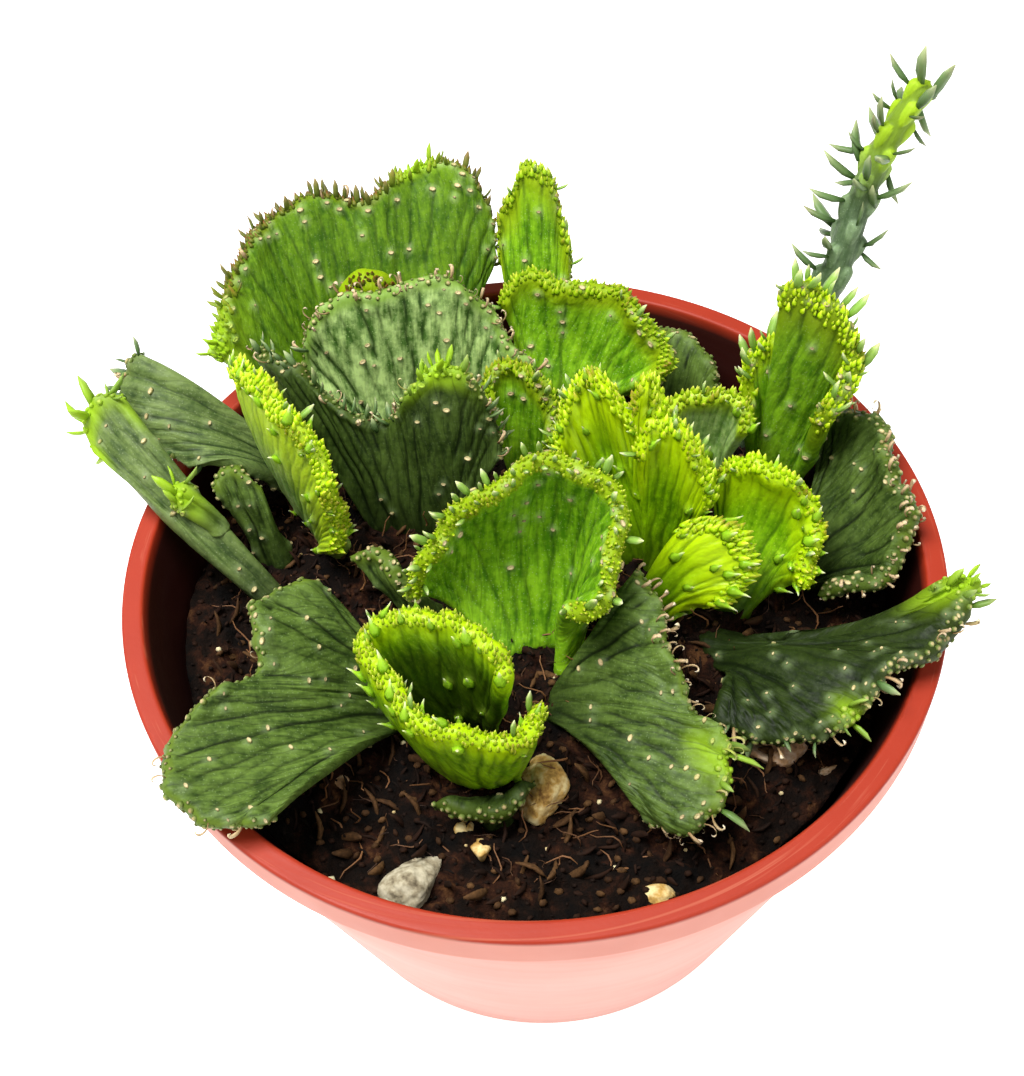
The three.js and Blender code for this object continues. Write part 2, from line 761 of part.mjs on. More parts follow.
// A mineral chip: an angular pebble, half sunk in the soil.
function makeChip(chip, index, grow) {
  const random = seededRandom(11 + index);
  const geometry = new THREE.IcosahedronGeometry(1, chip.detail);
  geometry.deleteAttribute("normal");
  geometry.deleteAttribute("uv");
  const merged = mergeVertices(geometry, 1e-4);
  const position = merged.attributes.position;
  const [x, y] = chip.at;
  const middle = new THREE.Vector3(x, y, soilHeight(x, y) + 0.3 * chip.size[2]);
  for (let i = 0; i < position.count; i++) {
    const p = new THREE.Vector3().fromBufferAttribute(position, i).multiplyScalar(0.85 + 0.3 * random());
    p.multiply(new THREE.Vector3(...chip.size));
    p.addScaledVector(p.clone().normalize(), grow).add(middle);
    position.setXYZ(i, p.x, p.y, p.z);
  }
  return solidFrom(merged);
}

// The largest body of a solid, without the loose scraps, sealed hollows and
// sliver faces of a union.
function mainBody(solid) {
  const [largest] = solid.simplify(SLIVER).decompose().sort((a, b) => b.volume() - a.volume());
  return largest;
}

// Plant: bodies and bright margins, joined by node.
const plant = new Map();
function grow(name, solid, colour) {
  const known = plant.get(name);
  plant.set(name, known ? { ...known, solid: known.solid.add(solid) } : { solid, colour });
}

let soil = makeSoil();
CRESTS.forEach((crest, index) => {
  const sheet = crestSheet(crest);
  const random = seededRandom(101 + index);
  const rows = rowsOf(crest);
  if (crest.margin) {
    const body = rows.filter((w) => w <= 1);
    const margin = [1 + (2 * GAP) / MARGIN_WIDTH, 1.5, 2];
    grow(crest.node, crestSolid(crest, sheet, body), crest.colour);
    const rim = addLeaflets(crestSolid(crest, sheet, margin), crest, sheet, random);
    grow(crest.node + "_margin", rim, crest.margin);
  } else {
    grow(crest.node, addLeaflets(crestSolid(crest, sheet, rows), crest, sheet, random), crest.colour);
  }
  if (!sheet.isShoot) soil = soil.subtract(footHole(crest.foot));
});
soil = soil.subtract(makeStem(GAP));
CHIPS.forEach((chip, index) => {
  soil = soil.subtract(makeChip(chip, index, GAP));
});

addPiece("pot", geometryFrom(makePot()), TERRACOTTA, 0.45);
addPiece("soil", geometryFrom(mainBody(soil)), PEAT, 1);
CHIPS.forEach((chip, index) => {
  addPiece("mineral_chip_" + (index + 1), geometryFrom(makeChip(chip, index, 0)), chip.colour, 0.9);
});
for (const [name, { solid, colour }] of plant) {
  addPiece(name, geometryFrom(mainBody(solid)), colour, 0.5);
}
addPiece("finger_stem", geometryFrom(makeStem(0)), OLIVE_GREEN, 0.5);

export default part;
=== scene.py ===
import math

import bpy
import numpy as np
from mathutils import Matrix, Vector


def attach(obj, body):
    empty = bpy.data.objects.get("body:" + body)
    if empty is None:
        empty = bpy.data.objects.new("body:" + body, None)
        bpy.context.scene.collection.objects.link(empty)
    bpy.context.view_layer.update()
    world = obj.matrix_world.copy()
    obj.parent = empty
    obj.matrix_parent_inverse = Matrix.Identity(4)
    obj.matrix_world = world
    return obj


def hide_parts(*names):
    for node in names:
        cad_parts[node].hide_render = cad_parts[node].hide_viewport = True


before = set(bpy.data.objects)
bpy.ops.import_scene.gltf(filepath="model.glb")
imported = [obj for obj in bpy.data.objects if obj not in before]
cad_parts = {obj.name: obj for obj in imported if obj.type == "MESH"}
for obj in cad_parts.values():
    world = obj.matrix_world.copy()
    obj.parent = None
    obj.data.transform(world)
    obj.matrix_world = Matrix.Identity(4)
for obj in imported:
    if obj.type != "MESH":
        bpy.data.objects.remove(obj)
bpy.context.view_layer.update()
MM = 0.001


# Camera: where the photograph was taken from, above and in front of the pot, looking
# down on it with a slight roll.
CAMERA_PLACE = Vector((-3.3, -158.8, 302.8)) * MM
CAMERA_LOOKS_DOWN = math.radians(51.34)
CAMERA_ROLL = -0.0657
CAMERA_LENS = 46.84

lens = bpy.data.cameras.new("photo_camera")
lens.lens = CAMERA_LENS
lens.sensor_width = 36
lens.clip_start = 10 * MM
camera = bpy.data.objects.new("photo_camera", lens)
tilt = Matrix.Rotation(math.pi / 2 - CAMERA_LOOKS_DOWN, 4, "X")
camera.matrix_world = Matrix.Translation(CAMERA_PLACE) @ tilt @ Matrix.Rotation(CAMERA_ROLL, 4, "Z")
bpy.context.scene.collection.objects.link(camera)
bpy.context.scene.camera = camera


# Floor and light: a seamless light table that glows white from below, one large soft light
# from above left, a weaker one from the right, and a surround that is white at the horizon
# and dim overhead.
FLOOR_HALF = 1500 * MM
KEY_LIGHT = {"place": (-190, 20, 700), "size": 380, "watts": 6.4}
FILL_LIGHT = {"place": (380, -340, 480), "size": 500, "watts": 1.0}
LIGHTS_AIM_AT = (0, 0, 90)
SURROUND = 0.26
TABLE_GLOW = 0.75


def linear(code):
    """An sRGB hex colour as a linear RGBA tuple."""
    channels = [int(code[i : i + 2], 16) / 255 for i in (1, 3, 5)]
    return tuple(c / 12.92 if c <= 0.04045 else ((c + 0.055) / 1.055) ** 2.4 for c in channels) + (1.0,)


def feed(node, inputs):
    """Gives each named socket of a node its value or the output that it reads."""
    for key, value in inputs.items():
        if isinstance(value, bpy.types.NodeSocket):
            node.id_data.links.new(value, node.inputs[key])
        else:
            node.inputs[key].default_value = value


def add_node(tree, kind, inputs=None, **settings):
    """Adds a node of a kind to a tree, with its settings and what its sockets are fed."""
    node = tree.nodes.new(kind)
    for name, value in settings.items():
        setattr(node, name, value)
    feed(node, inputs or {})
    return node


def new_material(name):
    """An empty node material and its Principled shader, joined to the output."""
    material = bpy.data.materials.new(name)
    material.use_nodes = True
    tree = material.node_tree
    tree.nodes.clear()
    shader = add_node(tree, "ShaderNodeBsdfPrincipled")
    add_node(tree, "ShaderNodeOutputMaterial", {"Surface": shader.outputs[0]})
    return material, tree, shader


def mesh_object(name, points, faces, smooth=True):
    """A mesh object at the origin, linked to the scene."""
    mesh = bpy.data.meshes.new(name)
    mesh.from_pydata([tuple(p) for p in points], [], faces)
    mesh.polygons.foreach_set("use_smooth", [smooth] * len(mesh.polygons))
    mesh.update()
    made = bpy.data.objects.new(name, mesh)
    bpy.context.scene.collection.objects.link(made)
    return made


# Opal glass: nearly white and lit from below.
board, _, shader = new_material("opal_glass")
feed(
    shader,
    {
        "Base Color": linear("#f9f8f7"),
        "Roughness": 0.75,
        "Specular IOR Level": 0.2,
        "Emission Color": (1, 1, 1, 1),
        "Emission Strength": TABLE_GLOW,
    },
)

corners = [(x * FLOOR_HALF, y * FLOOR_HALF, 0) for x, y in ((-1, -1), (1, -1), (1, 1), (-1, 1))]
floor = mesh_object("table_top", corners, [(0, 1, 2, 3)], smooth=False)
floor.data.materials.append(board)

for name, light in (("key_light", KEY_LIGHT), ("fill_light", FILL_LIGHT)):
    data = bpy.data.lights.new(name, "AREA")
    data.shape = "DISK"
    data.size = light["size"] * MM
    data.energy = light["watts"]
    lamp = bpy.data.objects.new(name, data)
    lamp.location = Vector(light["place"]) * MM
    aim = Vector(LIGHTS_AIM_AT) * MM - lamp.location
    lamp.rotation_euler = aim.to_track_quat("-Z", "Y").to_euler()
    bpy.context.scene.collection.objects.link(lamp)

world = bpy.data.worlds.new("studio_surround")
world.use_nodes = True
tree = world.node_tree
direction = add_node(tree, "ShaderNodeTexCoord").outputs["Generated"]
direction = add_node(tree, "ShaderNodeSeparateXYZ", {"Vector": direction})
strength = add_node(
    tree,
    "ShaderNodeMapRange",
    {"Value": direction.outputs["Z"], "From Min": 0.04, "From Max": 0.4, "To Min": 1.0, "To Max": SURROUND},
    interpolation_type="SMOOTHSTEP",
)
feed(tree.nodes["Background"], {"Color": (1, 1, 1, 1), "Strength": strength.outputs[0]})
bpy.context.scene.world = world
bpy.context.scene.view_settings.view_transform = "Standard"


# Pot: a nursery pot, injection moulded in terracotta-coloured polypropylene. The wall
# tapers, the lip is flat on top and hangs over the wall, and six holes drain the floor.
# Its edges are rounded as a mould's are.
POT_HEIGHT = 100
RIM_RADIUS = 75
RIM_WIDTH = 4
LIP_HEIGHT = 7.5
LIP_STEP = 1.6
BASE_RADIUS = 52
WALL = 1.6
POT_FLOOR = 2.4
POT_SIDES = 216
DRAIN_HOLES = 6
DRAIN_RADIUS = 3.5
DRAIN_CIRCLE = 36
EDGE_RADIUS = 0.6
HEEL = 3
LIP_DEPTH = 0.03


def rounded(profile, radius, steps=4):
    """A profile with its inner corners rounded, as (radius, height) pairs."""
    made = [profile[0]]
    for before, corner, after in zip(profile, profile[1:], profile[2:]):
        here = Vector(corner)
        ways = [Vector(before) - here, Vector(after) - here]
        reach = min(radius, *(0.45 * way.length for way in ways))
        start, end = (here + way.normalized() * reach for way in ways)
        for step in range(steps + 1):
            t = step / steps
            made.append(tuple(start * (1 - t) ** 2 + here * 2 * t * (1 - t) + end * t**2))
    return made + [profile[-1]]


def supported(profile, gap=0.4):
    """A profile with points close to the ends of its long stretches, so that these shade flat."""
    made = [profile[0]]
    for start, end in zip(profile, profile[1:]):
        way = Vector(end) - Vector(start)
        if way.length > 3 * gap:
            reach = way.normalized() * gap
            made += [tuple(Vector(start) + reach), tuple(Vector(end) - reach)]
        made.append(end)
    return made


def turned(name, profile, sides):
    """A closed body turned round the z axis from a profile that starts and ends on it."""
    rings = profile[1:-1]
    points = [(0, 0, profile[0][1])]
    for radius, height in rings:
        for side in range(sides):
            turn = 2 * math.pi * side / sides
            points.append((radius * math.cos(turn), radius * math.sin(turn), height))
    points.append((0, 0, profile[-1][1]))
    at = lambda ring, side: 1 + ring * sides + side % sides
    faces = []
    for side in range(sides):
        faces.append((0, at(0, side + 1), at(0, side)))
        for ring in range(len(rings) - 1):
            faces.append((at(ring, side), at(ring, side + 1), at(ring + 1, side + 1), at(ring + 1, side)))
        faces.append((at(len(rings) - 1, side), at(len(rings) - 1, side + 1), len(points) - 1))
    return mesh_object(name, [Vector(p) * MM for p in points], faces)


def plain_mesh(thing):
    """Turns an object's evaluated shape into its plain mesh and drops its modifiers."""
    graph = bpy.context.evaluated_depsgraph_get()
    seen = thing.evaluated_get(graph)
    mesh = bpy.data.meshes.new_from_object(seen, preserve_all_data_layers=True, depsgraph=graph)
    thing.modifiers.clear()
    thing.data = mesh
    mesh.name = thing.name


lip_bottom = POT_HEIGHT - LIP_HEIGHT
wall_top = RIM_RADIUS - LIP_STEP
inner_low = BASE_RADIUS - WALL
inner_top = RIM_RADIUS - RIM_WIDTH
profile = [
    (0, 0),
    (BASE_RADIUS - EDGE_RADIUS, 0),
    (BASE_RADIUS + (wall_top - BASE_RADIUS) * HEEL / lip_bottom, HEEL),
    (wall_top, lip_bottom),
    (RIM_RADIUS, lip_bottom),
    (RIM_RADIUS, POT_HEIGHT),
    (inner_top + EDGE_RADIUS / 2, POT_HEIGHT),
    (inner_low + (inner_top - inner_low) * (1 - LIP_DEPTH), POT_HEIGHT * (1 - LIP_DEPTH)),
    (inner_low + (inner_top - inner_low) * POT_FLOOR / POT_HEIGHT, POT_FLOOR),
    (0, POT_FLOOR),
]
pot = turned("nursery_pot", supported(rounded(profile, EDGE_RADIUS)), POT_SIDES)

drills = []
drill_outline = [(0, -2), (DRAIN_RADIUS, -2), (DRAIN_RADIUS, 3 * POT_FLOOR), (0, 3 * POT_FLOOR)]
for number in range(DRAIN_HOLES):
    turn = 2 * math.pi * (number + 0.5) / DRAIN_HOLES
    drill = turned("drain_drill", drill_outline, 24)
    drill.data.transform(
        Matrix.Translation(Vector((math.cos(turn), math.sin(turn), 0)) * DRAIN_CIRCLE * MM)
    )
    cut = pot.modifiers.new("drain_hole", "BOOLEAN")
    cut.operation = "DIFFERENCE"
    cut.solver = "EXACT"
    cut.object = drill
    drills.append(drill)
plain_mesh(pot)
for drill in drills:
    bpy.data.objects.remove(drill)

# Polypropylene, moulded: a satin terracotta, scuffed in fine arcs. The outside is painted pale as light from
# below, in soft patches and more so towards the ground, and the inside has painted shade from just under the
# rim down. The flat top of the lip keeps its colour.
SCUFF_SPACING = 1.1
SCUFF_TURNS = 40.0
OUTSIDE_WALL = 0.8
PAINTED_UPLIGHT_HEIGHTS = (96, 60)
PAINTED_UPLIGHT_STARTS_UNDER_LIP = (0.3, 1.3)
PAINTED_SHADE_HEIGHTS = (99.8, 97.5)

terracotta, tree, shader = new_material("moulded_polypropylene")
place = add_node(tree, "ShaderNodeTexCoord").outputs["Object"]
parts = add_node(tree, "ShaderNodeSeparateXYZ", {"Vector": place})
radius = add_node(tree, "ShaderNodeVectorMath", {0: place, 1: (1, 1, 0)}, operation="MULTIPLY")
radius = add_node(tree, "ShaderNodeVectorMath", {0: radius.outputs[0]}, operation="LENGTH")
shares = {}
for name, high, low, most in (
    ("towards ground", *PAINTED_UPLIGHT_HEIGHTS, 1.0),
    ("under lip's top", *(POT_HEIGHT - under for under in PAINTED_UPLIGHT_STARTS_UNDER_LIP), 1.0),
    ("peat film", *PAINTED_SHADE_HEIGHTS, 0.97),
):
    shares[name] = add_node(
        tree, "ShaderNodeMapRange",
        {"Value": parts.outputs["Z"], "From Min": high * MM, "From Max": low * MM, "To Max": most},
    )
wall_radius = add_node(
    tree,
    "ShaderNodeMath",
    {0: parts.outputs["Z"], 1: (wall_top - BASE_RADIUS) / lip_bottom, 2: (BASE_RADIUS - OUTSIDE_WALL) * MM},
    operation="MULTIPLY_ADD",
)
is_outside = add_node(
    tree, "ShaderNodeMath", {0: radius.outputs["Value"], 1: wall_radius.outputs[0]},
    operation="GREATER_THAN",
)
is_inside = add_node(tree, "ShaderNodeMath", {0: 1.0, 1: is_outside.outputs[0]}, operation="SUBTRACT")
# Painted light from below: the outside wall and the lip's side are painted pale, in soft patches, paler
# towards the ground.
painted_uplight_patches = add_node(
    tree, "ShaderNodeTexNoise", {"Vector": place, "Scale": 1 / (22 * MM), "Detail": 3.0, "Roughness": 0.6}
)
painted_uplight_patches = add_node(
    tree, "ShaderNodeMapRange",
    {"Value": painted_uplight_patches.outputs["Fac"], "From Min": 0.3, "From Max": 0.7, "To Min": 0.82, "To Max": 0.98},
)
painted_uplight = add_node(
    tree, "ShaderNodeMath", {0: is_outside.outputs[0], 1: shares["under lip's top"].outputs[0]},
    operation="MULTIPLY",
)
painted_uplight = add_node(tree, "ShaderNodeMath", {0: painted_uplight.outputs[0], 1: painted_uplight_patches.outputs[0]}, operation="MULTIPLY")
# Painted shade on the inside wall, from just under the rim down.
painted_inner_shade = add_node(
    tree, "ShaderNodeMath", {0: is_inside.outputs[0], 1: shares["peat film"].outputs[0]},
    operation="MULTIPLY",
)
turns = add_node(tree, "ShaderNodeVectorMath", {0: place, "Scale": SCUFF_TURNS}, operation="SCALE")
arcs = add_node(tree, "ShaderNodeCombineXYZ", {"X": radius.outputs["Value"]})
arcs = add_node(
    tree, "ShaderNodeVectorMath", {0: arcs.outputs[0], "Scale": 1 / (SCUFF_SPACING * MM)},
    operation="SCALE",
)
arcs = add_node(tree, "ShaderNodeVectorMath", {0: arcs.outputs[0], 1: turns.outputs[0]})
scuffs = add_node(
    tree, "ShaderNodeTexNoise", {"Vector": arcs.outputs[0], "Scale": 1.0, "Detail": 3.0, "Roughness": 0.7}
)
scuffed = add_node(
    tree, "ShaderNodeMapRange",
    {"Value": scuffs.outputs["Fac"], "From Min": 0.58, "From Max": 0.72, "To Max": 0.55},
)
mottle = add_node(tree, "ShaderNodeTexNoise", {"Vector": place, "Scale": 1 / (9 * MM), "Detail": 4.0})
pale = add_node(
    tree, "ShaderNodeMix",
    {"Factor": shares["towards ground"].outputs[0], 6: linear("#da907e"), 7: linear("#e2aa9c")},
    data_type="RGBA",
)
colour = linear("#9c2c16")
for share, paint in (
    (mottle.outputs["Fac"], linear("#aa351c")),
    (scuffed.outputs[0], linear("#c06a50")),
    (painted_uplight.outputs[0], pale.outputs[2]),
    (painted_inner_shade.outputs[0], linear("#260a06")),
):
    mixed = add_node(tree, "ShaderNodeMix", {"Factor": share, 6: colour, 7: paint}, data_type="RGBA")
    colour = mixed.outputs[2]
satin = add_node(
    tree, "ShaderNodeMapRange",
    {"Value": scuffs.outputs["Fac"], "From Min": 0.4, "From Max": 0.75, "To Min": 0.48, "To Max": 0.64},
)
orange_peel = add_node(tree, "ShaderNodeTexNoise", {"Vector": place, "Scale": 1 / (0.8 * MM), "Detail": 2.0})
bump = add_node(
    tree, "ShaderNodeBump", {"Height": orange_peel.outputs["Fac"], "Strength": 0.12, "Distance": 0.2 * MM}
)
feed(shader, {"Base Color": colour, "Roughness": satin.outputs[0], "Normal": bump.outputs[0]})
feed(shader, {"IOR": 1.49, "Specular IOR Level": 0.3})
pot.data.materials.clear()
pot.data.materials.append(terracotta)
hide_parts("pot")
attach(pot, "root")


# Soil: damp peat-based mix, pressed into the pot from its floor to well under the lip.
# The top is crumbly, with clods, loose crumbs, bark fibres and specks of perlite.
SOIL_EDGE = 83.5
SOIL_MOUND = 2.5
SOIL_CRUMB = 0.7
SOIL_RADIUS = 66.6
SOIL_RINGS = 78
SOIL_SIDES = 270
SOIL_GAP_AT_WALL = 0.4
SOIL_GAP_AT_FLOOR = 0.35
CLODS = ((15, 2.4, 0.6), (6, 2.5, 1), (2.6, 1.6, 1), (1.2, 0.7, 1))
CRUMB_SPACING, CRUMB_SIZE = 2.5, 1.5
FIBRE_SPACING, FIBRE_SIZE = 3.6, 6.0
SPECK_SPACING, SPECK_SIZE = 12.0, 1.2
SLIVER_SPACING, SLIVER_SIZE = 3.2, 4.8


def soil_top(x, y):
    """Height of the level that the soil was pressed to, as in the solid, in millimetres."""
    crumb = np.sin(x * 0.9 + y * 0.35) * np.sin(y * 0.8 - x * 0.2)
    return SOIL_EDGE + SOIL_MOUND * (1 - (x * x + y * y) / RIM_RADIUS**2) + SOIL_CRUMB * crumb


def smooth_step(low, high, value):
    """0 up to the low value, 1 from the high one on, and a soft S between them."""
    t = np.clip((value - low) / (high - low), 0, 1)
    return t * t * (3 - 2 * t)


def lumps(x, y, size, seed):
    """Smooth random values from -1 to 1 over a plane, in lumps of that size."""
    values = np.random.default_rng(seed).uniform(-1, 1, (128, 128))
    column, row = np.floor(x / size).astype(int), np.floor(y / size).astype(int)
    s, t = smooth_step(0, 1, x / size - column), smooth_step(0, 1, y / size - row)
    pick = lambda i, j: values[(row + j) % 128, (column + i) % 128]
    low = pick(0, 0) * (1 - s) + pick(1, 0) * s
    high = pick(0, 1) * (1 - s) + pick(1, 1) * s
    return low * (1 - t) + high * t


# Far more spots are tried than fit, so that the spacing alone says how close things stand.
MOST_PER_SQUARE_METRE = 4e6


def growth_tree(name, kinds):
    """Geometry Nodes that set small things on a surface, all round, a few kinds at a time.
    A kind's share of the surface and its way of leaning come from the surface's own
    attributes, and a kind with a mound raises the surface under each of its things."""
    tree = bpy.data.node_groups.new(name, "GeometryNodeTree")
    wanted = [("Surface", "Geometry")]
    for kind in kinds:
        wanted += [(kind + " Shape", "Object"), (kind + " Material", "Material")]
        wanted += [(kind + " " + label, "Float") for label in ("Spacing", "Size", "Lean", "Spread")]
    wanted += [("Mound Height", "Float"), ("Mound Radius", "Float"), ("Seed", "Int")]
    for label, socket_kind in wanted:
        tree.interface.new_socket(label, in_out="INPUT", socket_type="NodeSocket" + socket_kind)
    tree.interface.new_socket("Geometry", in_out="OUTPUT", socket_type="NodeSocketGeometry")

    given = add_node(tree, "NodeGroupInput").outputs
    flow = add_node(tree, "GeometryNodeInputNamedAttribute", {"Name": "flow"}, data_type="FLOAT_VECTOR")
    surface = given["Surface"]
    grown = []
    for number, kind in enumerate(kinds):
        share = add_node(tree, "GeometryNodeInputNamedAttribute", {"Name": kind.lower()}, data_type="FLOAT")
        seed = add_node(tree, "ShaderNodeMath", {0: given["Seed"], 1: float(17 * number)}, operation="ADD")
        spots = add_node(
            tree,
            "GeometryNodeDistributePointsOnFaces",
            {
                "Mesh": given["Surface"],
                "Distance Min": given[kind + " Spacing"],
                "Density Max": MOST_PER_SQUARE_METRE,
                "Density Factor": share.outputs["Attribute"],
                "Seed": seed.outputs[0],
            },
            distribute_method="POISSON",
        )
        stray = add_node(
            tree, "FunctionNodeRandomValue",
            {0: (-1.0, -1.0, -1.0), 1: (1.0, 1.0, 1.0), "Seed": seed.outputs[0]},
            data_type="FLOAT_VECTOR",
        )
        stray = add_node(
            tree, "ShaderNodeVectorMath", {0: stray.outputs[0], "Scale": given[kind + " Spread"]},
            operation="SCALE",
        )
        lean = add_node(
            tree, "ShaderNodeVectorMath", {0: flow.outputs["Attribute"], "Scale": given[kind + " Lean"]},
            operation="SCALE",
        )
        upright = add_node(tree, "ShaderNodeVectorMath", {0: spots.outputs["Normal"], 1: lean.outputs[0]})
        upright = add_node(tree, "ShaderNodeVectorMath", {0: upright.outputs[0], 1: stray.outputs[0]})
        turn = add_node(
            tree, "FunctionNodeAxesToRotation",
            {"Primary Axis": upright.outputs[0], "Secondary Axis": flow.outputs["Attribute"]},
            primary_axis="Z", secondary_axis="X",
        )
        chance = add_node(tree, "FunctionNodeRandomValue", {2: 0.55, 3: 1.35, "Seed": seed.outputs[0]})
        size = add_node(
            tree, "ShaderNodeMath", {0: chance.outputs[1], 1: given[kind + " Size"]}, operation="MULTIPLY"
        )
        shape = add_node(tree, "GeometryNodeObjectInfo", {"Object": given[kind + " Shape"]})
        places = spots.outputs["Points"]
        if number == 0:
            rise = add_node(
                tree, "ShaderNodeVectorMath",
                {0: spots.outputs["Normal"], "Scale": given["Mound Height"]}, operation="SCALE",
            )
            raised = add_node(
                tree, "GeometryNodeSetPosition", {"Geometry": places, "Offset": rise.outputs[0]}
            )
            places = raised.outputs[0]
        things = add_node(
            tree,
            "GeometryNodeInstanceOnPoints",
            {
                "Points": places,
                "Instance": shape.outputs["Geometry"],
                "Rotation": turn.outputs[0],
                "Scale": size.outputs[0],
            },
        )
        tint = add_node(tree, "FunctionNodeRandomValue", {2: 0.0, 3: 1.0, "Seed": seed.outputs[0]})
        tinted = add_node(
            tree, "GeometryNodeStoreNamedAttribute",
            {"Geometry": things.outputs[0], "Name": "tint", "Value": tint.outputs[1]}, data_type="FLOAT",
            domain="INSTANCE",
        )
        real = add_node(tree, "GeometryNodeRealizeInstances", {"Geometry": tinted.outputs[0]})
        painted = add_node(
            tree, "GeometryNodeSetMaterial",
            {"Geometry": real.outputs[0], "Material": given[kind + " Material"]},
        )
        grown.append(painted.outputs[0])
        if number == 0:
            reach = add_node(
                tree, "GeometryNodeProximity", {0: spots.outputs["Points"]}, target_element="POINTS"
            )
            rise = add_node(
                tree, "ShaderNodeMapRange",
                {"Value": reach.outputs["Distance"], "From Min": given["Mound Radius"], "From Max": 0.0},
                interpolation_type="SMOOTHSTEP",
            )
            lift = add_node(
                tree, "ShaderNodeMath", {0: rise.outputs[0], 1: given["Mound Height"]},
                operation="MULTIPLY",
            )
            outward = add_node(tree, "GeometryNodeInputNormal")
            push = add_node(
                tree, "ShaderNodeVectorMath", {0: outward.outputs[0], "Scale": lift.outputs[0]},
                operation="SCALE",
            )
            raised = add_node(
                tree, "GeometryNodeSetPosition", {"Geometry": given["Surface"], "Offset": push.outputs[0]}
            )
            marked = add_node(
                tree, "GeometryNodeStoreNamedAttribute",
                {"Geometry": raised.outputs[0], "Name": "bloom", "Value": rise.outputs[0]},
                data_type="FLOAT", domain="POINT",
            )
            surface = marked.outputs[0]
    joined = add_node(tree, "GeometryNodeJoinGeometry")
    for piece in [surface, *grown]:
        tree.links.new(piece, joined.inputs[0])
    add_node(tree, "NodeGroupOutput", {"Geometry": joined.outputs[0]})
    return tree


def grow_on(thing, tree, settings):
    """Runs a growth tree on an object and keeps the result as its plain mesh."""
    growth = thing.modifiers.new("growth", "NODES")
    growth.node_group = tree
    for item in tree.interface.items_tree:
        if item.in_out == "INPUT" and item.name in settings:
            growth[item.identifier] = settings[item.name]
        if item.name.endswith(" Shape"):
            worn = settings[item.name].data.materials
            worn.clear()
            worn.append(settings[item.name.replace(" Shape", " Material")])
    plain_mesh(thing)


def store(thing, values, ways):
    """Keeps numbers and directions, one for each point, as attributes of a mesh."""
    for label, numbers in values.items():
        layer = thing.data.attributes.new(label, "FLOAT", "POINT")
        layer.data.foreach_set("value", np.asarray(numbers, np.float32))
    for label, vectors in ways.items():
        layer = thing.data.attributes.new(label, "FLOAT_VECTOR", "POINT")
        layer.data.foreach_set("vector", np.asarray(vectors, np.float32).ravel())


def loose_shape(name, points, faces, tips=None):
    """A small mesh for a growth tree to repeat. tips, from 0 to 1, marks its far end."""
    mesh = bpy.data.meshes.new(name)
    mesh.from_pydata([tuple(p) for p in points], [], faces)
    mesh.polygons.foreach_set("use_smooth", [True] * len(mesh.polygons))
    if tips is not None:
        mesh.attributes.new("tip", "FLOAT", "POINT").data.foreach_set("value", np.asarray(tips, np.float32))
    mesh.update()
    return bpy.data.objects.new(name, mesh)


def tube_shape(name, line, radii, sides, flatten=1.0):
    """A closed tube of the given radii, in millimetres, along a line of (x, z) points."""
    points, faces, tips = [], [], []
    for i, ((x, z), radius) in enumerate(zip(line, radii)):
        for side in range(sides):
            turn = 2 * math.pi * side / sides
            point = (x + math.cos(turn) * radius * flatten, math.sin(turn) * radius, z)
            points.append(Vector(point) * MM)
            tips.append(i / (len(line) - 1))
    for i in range(len(line) - 1):
        for side in range(sides):
            a, b = i * sides + side, i * sides + (side + 1) % sides
            faces.append((a, b, b + sides, a + sides))
    faces.append(tuple(reversed(range(sides))))
    faces.append(tuple(range((len(line) - 1) * sides, len(line) * sides)))
    return loose_shape(name, points, faces, tips)


rings = np.linspace(0, SOIL_RADIUS, SOIL_RINGS + 1)[1:]
turns = np.linspace(0, 2 * np.pi, SOIL_SIDES, endpoint=False)
x = np.outer(rings, np.cos(turns))
y = np.outer(rings, np.sin(turns))
top = soil_top(x, y)
for number, (size, depth, share) in enumerate(CLODS):
    top += share * depth * (0.5 - np.abs(lumps(x, y, size, 40 + number)))
points = [(0, 0, float(top[0].mean()))]
points += list(zip(x.ravel(), y.ravel(), top.ravel()))
under = POT_FLOOR + SOIL_GAP_AT_FLOOR
low_radius = inner_low - SOIL_GAP_AT_WALL
points += [(low_radius * math.cos(t), low_radius * math.sin(t), under) for t in turns]
points.append((0, 0, under))
at = lambda ring, side: 1 + ring * SOIL_SIDES + side % SOIL_SIDES
faces = []
for side in range(SOIL_SIDES):
    faces.append((0, at(0, side), at(0, side + 1)))
    for ring in range(SOIL_RINGS):
        faces.append((at(ring, side), at(ring + 1, side), at(ring + 1, side + 1), at(ring, side + 1)))
    faces.append((at(SOIL_RINGS, side + 1), at(SOIL_RINGS, side), len(points) - 1))
soil = mesh_object("peat_soil", [Vector(p) * MM for p in points], faces)
is_top = np.zeros(len(points), np.float32)
is_top[: 1 + (SOIL_RINGS - 1) * SOIL_SIDES] = 1
shares = {}
for label, bare_rings in (("crumb", 1), ("fibre", 9), ("speck", 1), ("sliver", 5)):
    shares[label] = is_top.copy()
    shares[label][1 + (SOIL_RINGS - bare_rings) * SOIL_SIDES :] = 0
store(soil, shares, {"flow": np.tile((1.0, 0.0, 0.0), (len(points), 1))})

